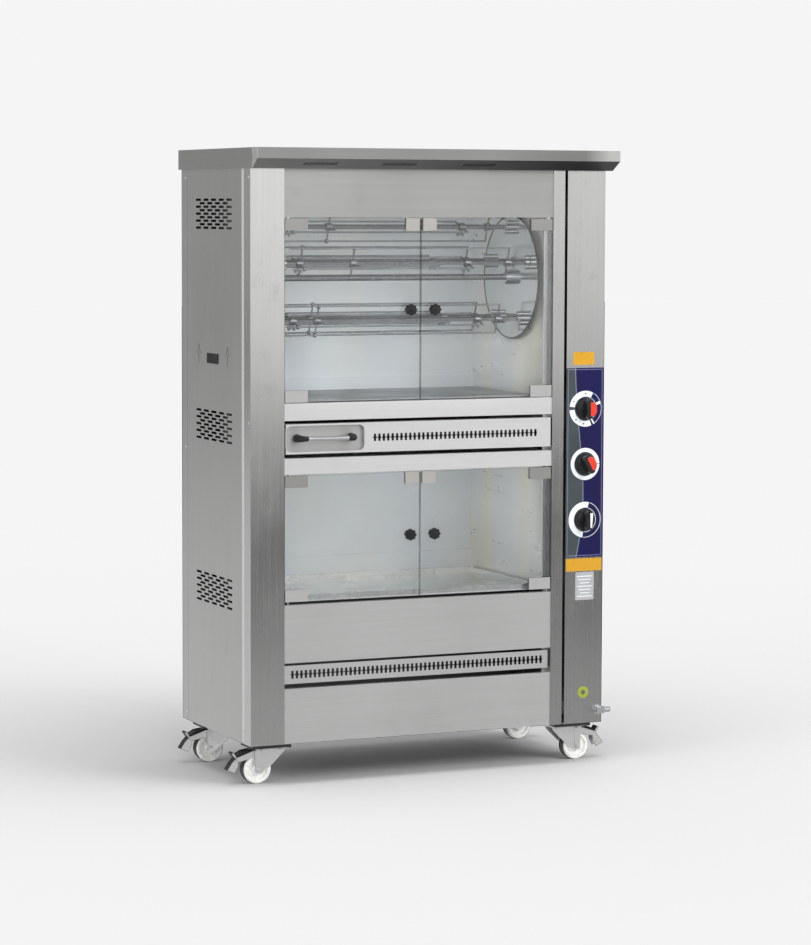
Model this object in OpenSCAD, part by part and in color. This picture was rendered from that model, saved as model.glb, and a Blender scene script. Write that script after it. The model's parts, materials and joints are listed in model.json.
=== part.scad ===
// Vertical rotisserie broiler: a floor-standing gas cabinet on four castors.
// A planetary spit carousel turns in the upper chamber, a fat drawer sits under it
// and a warming chamber is below. Millimetres, +Z up, the front faces -Y.
// The origin is on the floor, under the middle of the whole outline.

/* [Cabinet] */
// Width of the cabinet body
body_w = 1131; // [1120:1:1160]
// Depth of the cabinet body
body_d = 562; // [556:1:600]
// Height of the cabinet body, without hood and castors
body_h = 1650; // [1630:1:1700]
// Thickness of the sheet metal
sheet = 1.5; // [1:0.5:2]
// Width of the left front column
left_col_w = 104; // [103:0.5:105]
// How far the hood reaches out in front of the body
hood_front = 77; // [70:1:90]
// Height of the hood
hood_h = 58; // [54:1:64]

/* [Doors] */
// Thickness of the door glass
glass_t = 5; // [4:0.5:6]
// Length of a hinge clip along the glass edge
clip_w = 70; // [50:1:80]
// Height of a clip
clip_h = 34; // [28:1:40]
// Radius of a door pivot pin
pivot_r = 3; // [2.5:0.5:3.5]

/* [Carousel] */
// Radius of the two carousel discs
disc_r = 187; // [180:1:189]
// Radius of the circle that carries the spits
spit_pitch_r = 150; // [150:0.5:151]
// Width of a square spit bar
spit_w = 11; // [9:0.5:12]
// Distance of a fork tine from its spit bar
tine_offset = 45; // [35:1:45]

/* [Controls] */
// Radius of a control knob
knob_r = 33; // [28:1:35]

/* [Castors] */
// Radius of a castor wheel
wheel_r = 42; // [38:0.5:42]
// Height of a castor from the floor to the top of its plate
castor_h = 107; // [107:1:110]

/* [Hidden] */
$fn = 48;

// Running clearance of a pin in its bore
run_gap = 0.05;

// Frame of the part
hood_back = 5;
hood_side = 8;
chassis_h = 15;
base_h = castor_h + chassis_h;
front_y = (body_d + hood_back - hood_front) / 2;

// Heights above the body's lower edge
kick_top = 160;
vent_z = [173, 226];
apron_z = [234, 402];
lower_door_z = [411, 774];
lower_rail_z = [778, 824];
drawer_z = [836, 922];
upper_rail_z = [932, 982];
upper_door_z = [984, 1508];
header_z = 1512;
chamber_floor_z = 986;
warming_roof_z = 776;
side_vent_z = [376, 858, 1476];
panel_y = 2;

// Front layout along X
open_left = left_col_w + 3;
open_right = body_w - 174;
open_mid = (open_left + open_right) / 2;
post_x = [body_w - 172, body_w - 134];
control_x = [body_w - 125, body_w];
column_depth = 50;
side_start = 67;
rear_wrap = 47;

// Roasting and warming chambers
wall_left = left_col_w;
wall_right = body_w - 193;
wall_front = 20;
wall_back = body_d - 50;
seam = 0.1;
burner_y = [150, 330];
roof_z = body_h - 50;

// Doors
door_gap = 3;
door_len = open_mid - door_gap / 2 - open_left;
glass_y = 4;
pivot_in = 10;
pivot_y = glass_y + glass_t / 2;
clip_t = 2.5;
boss_h = 12;
grip_in = door_len - 37;
catch_w = 43;
star_r = 16;
star_lobes = 8;

// Carousel
axis_y = 215;
axis_z = 1333;
disc_t = 3;
left_disc_x = wall_left + 4.5;
right_disc_x = wall_right - 13;
gear_x = wall_right - 8;
gear_t = 6;
gear_module = 3;
sun_teeth = 80;
planet_teeth = 20;
first_spit = 18;
spits = 5;
shaft_r = 8.5;
journal_r = 7;
hub_len = 24;
tine_r = 2.5;
tine_tilt = 20;

// Controls
knob_x = (control_x[0] + control_x[1]) / 2 + 1;
knob_z = [945, 780, 613];
overlay_z = [501, 1067];
overlay_t = 0.8;
stem_r = 4;

// Rocker switch in the left side panel
rocker_y = [258, 345];
rocker_z = [1084, 1114];
rocker_hole_y = [268, 335];
rocker_hole_z = [1089, 1109];
rocker_axis = [5, 301.5];
rocker_pin_r = 2;

// Gas inlet, low on the control column
inlet_x = body_w - 14;
inlet_z = 38.5;
inlet_hole_r = 9;

// Castors
castor_in = 86;
trail = 38;
kingpin_r = 6;
axle_r = 4;
pedal_pin = [-43, 91];
fork_gap = 22;
leg_t = 2.5;
wheel_half = 18;
bolt_at = [42, 28];

// ---------------------------------------------------------------- helpers

// Cabinet frame: X from the left side, Y from the column fronts, Z from the body's lower edge
module on_body() { translate([-body_w / 2, -front_y, base_h]) children(); }

// Box between two corners
module block(low, high) { translate(low) cube(high - low); }

// Flat shape stood up to face the front, occupying y to y + t
module front_plate(y, t) { translate([0, y + t, 0]) rotate([90, 0, 0]) linear_extrude(t) children(); }

// Flat shape stood up to face the side, occupying x to x + t
module side_plate(x, t) { translate([x, 0, 0]) rotate([90, 0, 90]) linear_extrude(t) children(); }

module rod_x(x, y, z, r) { translate([x[0], y, z]) rotate([0, 90, 0]) cylinder(h = x[1] - x[0], r = r); }
module rod_y(x, y, z, r) { translate([x, y[0], z]) rotate([-90, 0, 0]) cylinder(h = y[1] - y[0], r = r); }
module rod_z(x, y, z, r) { translate([x, y, z[0]]) cylinder(h = z[1] - z[0], r = r); }

// Flat rectangle between two corners
module area(low, high) { translate(low) square(high - low); }

// Flat rectangle with round corners
module round_area(low, high, r) {
    area([low[0] + r, low[1]], [high[0] - r, high[1]]);
    area([low[0], low[1] + r], [high[0], high[1] - r]);
    for (x = [low[0] + r, high[0] - r], y = [low[1] + r, high[1] - r]) translate([x, y]) circle(r);
}

// Flat slot with round ends
module slot(length, width) {
    square([length - width, width], center = true);
    for (s = [-1, 1]) translate([s * (length - width) / 2, 0]) circle(d = width);
}

// Sheet folded back along its upper and lower edges
module folded_panel(x, z, depth) {
    difference() {
        block([x[0], panel_y, z[0]], [x[1], panel_y + depth, z[1]]);
        block([x[0] - 1, panel_y + sheet, z[0] + sheet], [x[1] + 1, panel_y + depth + 1, z[1] - sheet]);
    }
}

// Column folded back along both of its sides
module folded_column(x) {
    linear_extrude(body_h) difference() {
        area([x[0], 0], [x[1], column_depth]);
        area([x[0] + sheet, sheet], [x[1] - sheet, column_depth + 1]);
    }
}

// Row of cross-shaped air slots, each a tall slot with two short side arms
module cross_slots(x, z, tall) {
    pitch = 14;
    arm = [pitch - 1.5, 4];
    count = floor((x[1] - x[0]) / pitch);
    for (i = [0 : count]) translate([x[0] + i * pitch, z]) {
        square([7.2, tall], center = true);
        square(arm, center = true);
    }
}

// ---------------------------------------------------------------- frame and castor plates

// Base ring on four corner blocks that carry the castors, a post in each corner, and drawer runners
module chassis_frame() {
    inset = 66;
    inner = inset + 30;
    post = 25;
    pad_x = 20;
    pad_y = 34;
    pad = [118, 94];
    color("dimgray") on_body() {
        difference() {
            union() {
                difference() {
                    block([inset, inset, 0], [body_w - inset, body_d - inset, 15]);
                    block([inner, inner, -1], [body_w - inner, body_d - inner, 16]);
                }
                for (x = [pad_x, body_w - pad_x - pad[0]], y = [pad_y, body_d - pad_y - pad[1]])
                    block([x, y, -chassis_h], [x + pad[0], y + pad[1], 0]);
            }
            castor_bolt_places() cylinder(h = 3 * chassis_h, r = 4.2, center = true);
        }
        difference() {
            for (x = [3, body_w - 3 - post], y = [3, body_d - 3 - post])
                block([x, y, seam], [x + post, y + post, body_h - 2]);
            rod_y(inlet_x, [0, 50], inlet_z, inlet_hole_r);
        }
        for (side = [0, 1]) drawer_runner(side);
    }
}

// One angle that the fat drawer slides on
module drawer_runner(side) {
    x = side == 0 ? wall_left + sheet : wall_right - 20;
    web = side == 0 ? x : wall_right - sheet;
    block([x, wall_front + 4, drawer_z[0] - 1.6], [x + 20, wall_back, drawer_z[0] - 0.1]);
    block([web, wall_front + 4, drawer_z[0] - 10], [web + sheet, wall_back, drawer_z[0] - 1.6]);
}

// The four castor positions, in the cabinet frame, at the height of the castor plates' tops
module castor_places() {
    for (x = [castor_in, body_w - castor_in], y = [castor_in, body_d - castor_in])
        translate([x, y, -chassis_h]) children();
}

module castor_bolts() {
    for (x = [-bolt_at[0], bolt_at[0]], y = [-bolt_at[1], bolt_at[1]]) translate([x, y, 0]) children();
}

module castor_bolt_places() { castor_places() castor_bolts() children(); }

module castor_plates() {
    color("silver") on_body() castor_places() {
        difference() {
            block([-52, -42, -3], [52, 42, 0]);
            castor_bolts() cylinder(h = 9, r = 4.2, center = true);
        }
        rod_z(0, 0, [-14, -3], kingpin_r);
        rod_z(0, 0, [-14, -10.5], 10);
    }
}

// ---------------------------------------------------------------- outer panels

// One group of nine staggered rows of air slots, on the side panel's plane
module side_vents(z) {
    first_y = 167;
    pitch_y = 63;
    pitch_z = 10.2;
    for (row = [0 : 8]) {
        odd = row % 2;
        for (i = [0 : 4 - odd])
            translate([first_y + (i + odd / 2) * pitch_y, z + 3.5 + row * pitch_z]) slot(44, 7);
    }
}

// Side sheet with its front edge folded inwards; the fold is the bright line beside the column
module side_sheet() {
    lip = 5;
    side_plate(0, sheet) difference() {
        area([side_start, 0], [body_d - rear_wrap - 1, body_h]);
        for (z = side_vent_z) side_vents(z);
        children();
    }
    linear_extrude(body_h) polygon([[0, side_start], [lip, column_depth + 2], [lip + sheet, column_depth + 2],
        [sheet, side_start]]);
}

module left_side_panel() {
    color("lightgray") on_body() side_sheet()
        area([rocker_y[0] + 4, rocker_z[0] + 3], [rocker_y[1] - 4, rocker_z[1] - 3]);
}

module right_side_panel() {
    color("lightgray") on_body() translate([body_w, 0, 0]) mirror([1, 0, 0]) side_sheet();
}

module back_panel() {
    vent_x = 190;
    color("lightgray") on_body() {
        difference() {
            linear_extrude(body_h) difference() {
                area([0, body_d - rear_wrap], [body_w, body_d]);
                area([sheet, body_d - rear_wrap - 1], [body_w - sheet, body_d - sheet]);
            }
            // Air slots for the heat of the burners, high on the back
            for (x = [vent_x, body_w - vent_x], row = [0 : 6])
                translate([x, body_d, 1500 + row * 14]) rotate([90, 0, 0])
                    linear_extrude(20, center = true) slot(120, 6);
        }
        // Removable cover over the drive and the gas pipes
        block([body_w - 330, body_d, 560], [body_w - 60, body_d + 1.5, 1440]);
    }
}

module left_column() { color("gainsboro") on_body() folded_column([0, left_col_w]); }

module right_column() {
    color("gainsboro") on_body() {
        folded_column(post_x);
        // Closing strip between the column and the chamber wall
        block([wall_right + sheet, wall_front, 0], [post_x[0], wall_front + sheet, body_h]);
    }
}

module control_column() {
    color("silver") on_body() difference() {
        folded_column(control_x);
        for (z = knob_z) rod_y(knob_x, [-1, 9], z, stem_r + 2);
        rod_y(inlet_x, [-1, 9], inlet_z, inlet_hole_r);
    }
}

module control_overlay() {
    color("midnightblue") on_body() front_plate(-overlay_t, overlay_t) difference() {
        round_area([control_x[0] + 0.5, overlay_z[0]], [control_x[1] - 1, overlay_z[1]], 4);
        for (z = knob_z) translate([knob_x, z]) circle(stem_r + 2);
    }
}

// Hood: a shallow box with a sloping, slotted underside along the front
module hood() {
    nose_h = 31;
    slope_back = 30;
    outer_x = [-hood_side, body_w + hood_side];
    slope = atan2(nose_h - hood_h, hood_front - slope_back);
    top = body_h + hood_h;
    nose = top - nose_h;
    slot_groups = [146, 390, 642];
    color("silver") on_body() difference() {
        side_plate(outer_x[0], outer_x[1] - outer_x[0]) polygon([[-hood_front, nose], [-hood_front, top],
            [body_d + hood_back, top], [body_d + hood_back, body_h], [-slope_back, body_h]]);
        side_plate(outer_x[0] + sheet, outer_x[1] - outer_x[0] - 2 * sheet) polygon([
            [sheet - hood_front, nose + sheet], [sheet - hood_front, top - sheet],
            [body_d + hood_back - sheet, top - sheet], [body_d + hood_back - sheet, body_h + sheet],
            [1 - slope_back, body_h + sheet]]);
        block([12, 15, body_h - 1], [body_w - 12, body_d - 12, body_h + 3]);
        for (x0 = slot_groups, i = [0 : 10])
            translate([x0 + i * 9.5, -(hood_front + slope_back) / 2 + 1, (nose + body_h) / 2])
                rotate([slope, 0, 0]) rotate([0, 0, 22]) cube([4.2, 17, 12], center = true);
    }
}

module header_panel() {
    color("gainsboro") on_body() difference() {
        block([left_col_w + 1, panel_y, header_z], [post_x[0], wall_front, body_h]);
        block([left_col_w, panel_y + sheet, header_z + sheet], [post_x[0] + 1, wall_front + 1, body_h + 1]);
    }
}

module front_rails() {
    color("gainsboro") on_body() for (z = [lower_rail_z, upper_rail_z])
        folded_panel([left_col_w + 1, post_x[0]], z, wall_front - panel_y);
}

// Apron, slotted air strip and kick panel below the warming chamber
module lower_panels() {
    strip_y = panel_y + 6;
    color("gainsboro") on_body() {
        folded_panel([left_col_w + 1, post_x[0]], apron_z, wall_front - panel_y);
        folded_panel([left_col_w + 1, post_x[0]], [0, kick_top], wall_front - panel_y);
        front_plate(strip_y, sheet) difference() {
            area([left_col_w + 1, vent_z[0]], [open_right - 4, vent_z[1]]);
            cross_slots([132, 930], (vent_z[0] + vent_z[1]) / 2, 23);
        }
    }
}

// ---------------------------------------------------------------- chambers

// Side and back walls of a chamber, open at the front; each is its own sheet, with a seam between
module chamber_walls(z) {
    block([wall_left, wall_front, z[0]], [wall_left + sheet, wall_back - seam, z[1]]);
    block([wall_right, wall_front, z[0]], [wall_right + sheet, wall_back - seam, z[1]]);
    block([wall_left, wall_back, z[0]], [wall_right + sheet, wall_back + sheet, z[1]]);
}

// Level sheet across a chamber, between its walls
module chamber_sheet(z) {
    block([wall_left + sheet + seam, wall_front, z], [wall_right - seam, wall_back - seam, z + sheet]);
}

// Upstand along the back of a chamber's floor
module back_upstand(z) {
    block([wall_left + sheet + seam, wall_back - 12, z[0] + seam],
        [wall_right - seam, wall_back - seam, z[1]]);
}

module roast_chamber() {
    burner_z = header_z + 48;
    color("whitesmoke") on_body() {
        difference() {
            chamber_walls([warming_roof_z + sheet + seam, roof_z]);
            rod_x([wall_left - 1, wall_left + 5], axis_y, axis_z, 12);
            rod_x([wall_right - 1, wall_right + 5], axis_y, axis_z, 12);
            for (y = burner_y) rod_x([wall_right - 1, wall_right + 5], y, burner_z, 9);
        }
        // Floor with drain slots over the fat drawer
        difference() {
            chamber_sheet(chamber_floor_z);
            for (x = [230, 520, 810]) block([x - 70, 60, 900], [x + 70, 72, 1000]);
        }
        back_upstand([chamber_floor_z + sheet, chamber_floor_z + 40]);
        // Roof, and the lip behind the header
        chamber_sheet(roof_z - sheet);
        block([wall_left + sheet + seam, wall_front, header_z],
            [wall_right - seam, wall_front + sheet, roof_z - sheet - seam]);
    }
}

module warming_chamber() {
    low = lower_door_z[0];
    color("whitesmoke") on_body() {
        chamber_walls([low - sheet, warming_roof_z + sheet]);
        chamber_sheet(low - sheet);
        chamber_sheet(warming_roof_z);
        back_upstand([low, low + 70]);
    }
}

// Loose tray on the warming chamber's floor, with a raised rim
module warming_tray() {
    low = [wall_left + 14, wall_front + 6, lower_door_z[0]];
    high = [wall_right - 12, wall_back - 18, lower_door_z[0] + 16];
    rim = 6;
    color("whitesmoke") on_body() difference() {
        block(low, high);
        block(low + [rim, rim, sheet], high + [-rim, -rim, 1]);
    }
}

// ---------------------------------------------------------------- gas system

module roof_burners() {
    z = header_z + 48;
    tube_r = 14;
    color("gray") on_body() for (y = burner_y) difference() {
        union() {
            rod_x([wall_left + 30, wall_right - 30], y, z, tube_r);
            rod_x([wall_right - 31, wall_right + 40], y, z, 8);
            // Hangers up to the roof
            for (x = [wall_left + 60, wall_right - 60])
                block([x - 8, y - 1, z + tube_r - 1], [x + 8, y + 1, roof_z - sheet]);
        }
        // Flame slots along the underside
        for (x = [wall_left + 50 : 35 : wall_right - 60])
            block([x, y - 2, z - tube_r - 1], [x + 20, y + 2, z]);
    }
}

// Vertical manifold behind the control column, with a valve at each knob
module gas_train() {
    pipe_y = 70;
    pipe_r = 8;
    burner_z = header_z + 48;
    color("gold") on_body() {
        difference() {
            union() {
                rod_z(knob_x, pipe_y, [inlet_z, burner_z], pipe_r);
                rod_x([knob_x, inlet_x], pipe_y, inlet_z, pipe_r);
                rod_y(knob_x, [pipe_y, burner_y[1]], burner_z, pipe_r);
                for (p = [[knob_x, pipe_y, inlet_z], [inlet_x, pipe_y, inlet_z], [knob_x, pipe_y, burner_z],
                    [knob_x, burner_y[1], burner_z]]) translate(p) sphere(pipe_r + 1.5);
                for (y = burner_y) rod_x([wall_right + 40, knob_x], y, burner_z, pipe_r);
                for (z = knob_z) block([knob_x - 17, 22, z - 20], [knob_x + 17, pipe_y, z + 20]);
            }
            for (z = knob_z) rod_y(knob_x, [20, 52], z, stem_r + run_gap);
        }
    }
}

// Inlet elbow on the control column's front, with a hose nozzle pointing to the right
module gas_inlet() {
    elbow_y = -14;
    color("silver") on_body() {
        rod_y(inlet_x, [elbow_y, 60.5], inlet_z, 7.5);
        rod_z(inlet_x, elbow_y, [inlet_z - 9, inlet_z + 9], 9.5);
        rod_y(inlet_x, [-4, 0], inlet_z, 15);
        translate([inlet_x + 8, elbow_y, inlet_z]) rotate([0, 90, 0]) cylinder(h = 8, r = 10, $fn = 6);
        rod_x([inlet_x + 4, inlet_x + 34], elbow_y, inlet_z, 7);
    }
}

// ---------------------------------------------------------------- drive

module gearmotor() {
    plate_x = wall_right + 15;
    color("slategray") on_body() difference() {
        union() {
            block([plate_x, axis_y - 60, axis_z - 60], [plate_x + 4, axis_y + 60, axis_z + 60]);
            block([plate_x + 4, axis_y - 40, axis_z - 42], [plate_x + 70, axis_y + 40, axis_z + 42]);
            rod_x([plate_x + 70, plate_x + 150], axis_y, axis_z, 34);
            for (y = [-50, 50], z = [-50, 50])
                rod_x([wall_right + sheet, plate_x], axis_y + y, axis_z + z, 5);
        }
        rod_x([plate_x - 1, plate_x + 50], axis_y, axis_z, shaft_r + run_gap);
    }
}

// Outline of a spur gear with straight flanks and free play between the teeth
function tooth_corner(r, a) = [r * cos(a), r * sin(a)];
function gear_outline(teeth) =
    let (pitch_r = gear_module * teeth / 2, half = 0.83 * 90 / teeth)
    let (root_r = pitch_r - 1.3 * gear_module, tip_r = pitch_r + 0.9 * gear_module)
    let (root_a = half + atan(1.3 * gear_module * tan(20) / pitch_r))
    let (tip_a = half - atan(0.9 * gear_module * tan(20) / pitch_r))
    [for (i = [0 : teeth - 1], c = [[root_r, -root_a], [tip_r, -tip_a], [tip_r, tip_a], [root_r, root_a]])
        tooth_corner(c[0], 360 * i / teeth + c[1])];

// Fixed gear on the chamber's right wall, round the carousel shaft
module sun_gear() {
    color("darkgray") on_body() translate([0, axis_y, axis_z]) {
        side_plate(gear_x, gear_t) difference() {
            rotate(first_spit) polygon(gear_outline(sun_teeth));
            circle(70);
        }
        for (a = [45 : 90 : 315]) rod_x([gear_x + gear_t, wall_right], 92 * cos(a), 92 * sin(a), 6);
    }
}

module shaft_bearings() {
    color("darkgray") on_body() for (x = [[wall_left - 14, wall_left], [wall_right + sheet, wall_right + 13]])
        difference() {
            union() {
                rod_x(x, axis_y, axis_z, 18);
                block([x[0] + 4, axis_y - 34, axis_z - 12], [x[1] - 4, axis_y + 34, axis_z + 12]);
            }
            rod_x([x[0] - 1, x[1] + 1], axis_y, axis_z, shaft_r + run_gap);
        }
}

module carousel_shaft() {
    color("silver") on_body() rod_x([wall_left - 22, wall_right + 60], axis_y, axis_z, shaft_r);
}

// Angle of spit i around the carousel
function spit_angle(i) = first_spit + 360 / spits * i;

module at_spit(i) {
    a = spit_angle(i);
    translate([0, axis_y + spit_pitch_r * cos(a), axis_z + spit_pitch_r * sin(a)]) children();
}

// Disc with a centre boss and a chrome socket for every spit
module carousel_disc(x, hub_x) {
    color("gainsboro") on_body() difference() {
        union() {
            rod_x([x, x + disc_t], axis_y, axis_z, disc_r);
            rod_x(hub_x, axis_y, axis_z, 22);
            for (i = [0 : spits - 1]) at_spit(i) {
                rod_x(hub_x, 0, 0, 12);
                for (s = [-1, 1]) rod_x(hub_x, 0, s * 13, 8);
            }
        }
        rod_x([x - 1, x + 60], axis_y, axis_z, shaft_r);
        rod_x([x - 60, x + 1], axis_y, axis_z, shaft_r);
        for (i = [0 : spits - 1]) at_spit(i) rod_x([x - 60, x + 60], 0, 0, journal_r + run_gap);
    }
}

module left_disc() { carousel_disc(left_disc_x, [left_disc_x + disc_t, left_disc_x + disc_t + hub_len]); }

module right_disc() { carousel_disc(right_disc_x, [right_disc_x - hub_len, right_disc_x]); }

// Wing screw that locks a fork hub on the bar
module wing_screw() {
    rod_z(0, 0, [9, 20], 3);
    for (s = [-1, 1]) translate([s * 6, 0, 22]) rotate([0, -s * 55, 0]) rotate([90, 0, 0])
        linear_extrude(3, center = true) slot(16, 9);
}

// Fork hub with a square hole, locked by a wing screw
module fork_hub(x, turn) {
    hole_w = spit_w + 2 * run_gap;
    translate([x, 0, 0]) rotate([turn, 0, 0]) {
        difference() {
            union() {
                rod_x([-9, 9], 0, 0, 11);
                wing_screw();
            }
            rotate([tine_tilt - turn, 0, 0]) cube([30, hole_w, hole_w], center = true);
        }
    }
}

// U-shaped fork: a cross rod through the hub, and two long tines that run to the left
module long_fork(x, turn, tip_x) {
    fork_hub(x, turn + 90);
    translate([x, 0, 0]) rotate([turn, 0, 0]) difference() {
        rod_z(0, 0, [-tine_offset, tine_offset], tine_r);
        cube([18, 21, 21], center = true);
    }
    rotate([turn, 0, 0]) for (s = [-1, 1]) {
        rod_x([tip_x, x], 0, s * tine_offset, tine_r);
        translate([x, 0, s * tine_offset]) sphere(tine_r + 0.6);
        translate([tip_x - 14, 0, s * tine_offset]) rotate([0, 90, 0])
            cylinder(h = 14, r1 = 0.6, r2 = tine_r);
    }
}

// Cross-plate that guides the tines of a long fork near their tips
module tine_guide(x, turn) {
    fork_hub(x, turn + 90);
    translate([x, 0, 0]) rotate([turn, 0, 0]) difference() {
        union() {
            rod_z(0, 0, [4 - tine_offset, tine_offset - 4], tine_r);
            for (s = [-1, 1]) rod_x([-4, 4], 0, s * tine_offset, 6);
        }
        cube([18, 21, 21], center = true);
        for (s = [-1, 1]) rod_x([-5, 5], 0, s * tine_offset, tine_r + run_gap);
    }
}

// Spit: square bar with round journals, pinion, two long forks and two tine guides
module spit(i, fork_x, guide_x) {
    bar_x = [left_disc_x + disc_t + hub_len + 2, right_disc_x - hub_len - 2];
    half = spit_w / 2;
    color("gray") on_body() at_spit(i) {
        rotate([tine_tilt, 0, 0]) block([bar_x[0], -half, -half], [bar_x[1], half, half]);
        rod_x([left_disc_x - 1, bar_x[0] + 1], 0, 0, journal_r);
        rod_x([bar_x[1] - 1, gear_x + gear_t], 0, 0, journal_r);
        side_plate(gear_x, gear_t) rotate(spit_angle(i) + 180 / planet_teeth)
            polygon(gear_outline(planet_teeth));
        long_fork(fork_x[0], tine_tilt, 152);
        long_fork(fork_x[1], tine_tilt + 90, 152);
        tine_guide(guide_x[0], tine_tilt);
        tine_guide(guide_x[1], tine_tilt + 90);
    }
}

module spit_1() { spit(0, [842, 735], [300, 196]); }
module spit_2() { spit(1, [846, 760], [330, 200]); }
module spit_3() { spit(2, [842, 712], [345, 178]); }
module spit_4() { spit(3, [838, 770], [256, 180]); }
module spit_5() { spit(4, [846, 742], [310, 190]); }

// ---------------------------------------------------------------- doors

module at_door(side) {
    if (side < 0) on_body() translate([open_left, 0, 0]) children();
    else on_body() translate([open_right, 0, 0]) mirror([1, 0, 0]) children();
}

module door_pivots() {
    pins = [[lower_door_z[0] + 10, apron_z[1]], [lower_door_z[1] - 10, lower_rail_z[0]],
        [upper_door_z[0] + 10, upper_rail_z[1]], [upper_door_z[1] - 10, header_z]];
    color("silver") for (side = [-1, 1]) at_door(side) for (p = pins) {
        low = min(p[0], p[1]);
        high = max(p[0], p[1]);
        rod_z(pivot_in, pivot_y, [low, high], pivot_r);
    }
}

// Glass leaf, notched at two corners for the pivot bosses; x runs from the hinge edge
module door_glass(side, z) {
    color("lightblue", 0.35) at_door(side) front_plate(glass_y, glass_t) difference() {
        area([0, z[0]], [door_len, z[1]]);
        area([pivot_in - 8, z[1] - boss_h], [pivot_in + 8, z[1] + 1]);
        area([pivot_in - 8, z[0] - 1], [pivot_in + 8, z[0] + boss_h]);
        translate([grip_in, (z[0] + z[1]) / 2]) circle(4);
    }
}

// Pair of plates that hold the glass between them
module clip_plates(x, z) {
    block([x[0], glass_y - clip_t, z[0]], [x[1], glass_y, z[1]]);
    block([x[0], glass_y + glass_t, z[0]], [x[1], glass_y + glass_t + clip_t, z[1]]);
}

// Hinge clips, the catch clip over the upper inner corner, and the star grip
module door_fittings(side, z) {
    color("silver") at_door(side) {
        for (end = [0, 1]) {
            edge = z[end];
            inward = end == 0 ? 1 : -1;
            span = end == 0 ? [edge, edge + clip_h] : [edge - clip_h, edge];
            notch = end == 0 ? [edge, edge + boss_h] : [edge - boss_h, edge];
            difference() {
                union() {
                    clip_plates([0, clip_w], span);
                    block([pivot_in - 8, glass_y, notch[0]], [pivot_in + 8, glass_y + glass_t, notch[1]]);
                }
                rod_z(pivot_in, pivot_y, [min(edge - inward, edge + inward * 10.5),
                    max(edge - inward, edge + inward * 10.5)], pivot_r + run_gap);
            }
        }
        union() {
            catch_x = [door_len - 4 - catch_w, door_len - 4];
            clip_plates(catch_x, [z[1] - clip_h, z[1] + 1.5]);
            block([catch_x[0], glass_y, z[1]], [catch_x[1], glass_y + glass_t, z[1] + 1.5]);
        }
    }
    color("black") at_door(side) translate([grip_in, 0, (z[0] + z[1]) / 2]) star_grip();
}

// Round grip with lobes round its rim, on a stud through the glass
module star_grip() {
    front = -21;
    rod_y(0, [front + 3, -3], 0, star_r - 4);
    for (i = [0 : star_lobes - 1]) {
        a = 360 / star_lobes * i;
        rod_y((star_r - 4) * cos(a), [front + 2, -5], (star_r - 4) * sin(a), 4);
    }
    rod_y(0, [front, front + 3], 0, star_r - 7);
    rod_y(0, [-3, glass_y], 0, 7);
    rod_y(0, [glass_y, glass_y + glass_t], 0, 3.9);
    rod_y(0, [glass_y + glass_t, glass_y + glass_t + 4], 0, 8);
}

module upper_left_door_glass() { door_glass(-1, upper_door_z); }
module upper_left_door_fittings() { door_fittings(-1, upper_door_z); }
module upper_right_door_glass() { door_glass(1, upper_door_z); }
module upper_right_door_fittings() { door_fittings(1, upper_door_z); }
module lower_left_door_glass() { door_glass(-1, lower_door_z); }
module lower_left_door_fittings() { door_fittings(-1, lower_door_z); }
module lower_right_door_glass() { door_glass(1, lower_door_z); }
module lower_right_door_fittings() { door_fittings(1, lower_door_z); }

// ---------------------------------------------------------------- fat drawer

recess_x = [108, 355];
recess_depth = 14;
tray_front = 44;

module drawer_front() {
    recess_z = [drawer_z[0] + 5, drawer_z[1] - 4];
    slots_z = (drawer_z[0] + drawer_z[1]) / 2 - 1;
    x = [open_left + 2, open_right - 2];
    color("gainsboro") on_body() {
        difference() {
            block([x[0], panel_y, drawer_z[0]], [x[1], tray_front, drawer_z[1]]);
            block([x[0] - 1, panel_y + sheet, drawer_z[0] + sheet],
                [x[1] + 1, tray_front + 1, drawer_z[1] - sheet]);
            front_plate(0, 5) round_area([recess_x[0], recess_z[0]], [recess_x[1], recess_z[1]], 18);
            front_plate(0, 5) cross_slots([387, 905], slots_z, 21);
            // Room for the runners
            block([x[0] - 1, wall_front, 0], [wall_left + 9, tray_front + 1, 2000]);
            block([wall_right - 8, wall_front, 0], [x[1] + 1, tray_front + 1, 2000]);
        }
        // Recessed pan behind the handle
        low = [recess_x[0], recess_z[0]];
        high = [recess_x[1], recess_z[1]];
        difference() {
            front_plate(panel_y, recess_depth) round_area(low, high, 18);
            front_plate(panel_y - 1, recess_depth - sheet + 1)
                round_area(low + [sheet, sheet], high - [sheet, sheet], 18 - sheet);
        }
    }
}

module drawer_tray() {
    low = [wall_left + 9, tray_front, drawer_z[0]];
    high = [wall_right - 8, wall_back - 30, drawer_z[1] - 20];
    color("silver") on_body() difference() {
        block(low, high);
        block(low + [sheet, sheet, sheet], high + [-sheet, -sheet, 1]);
    }
}

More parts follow.
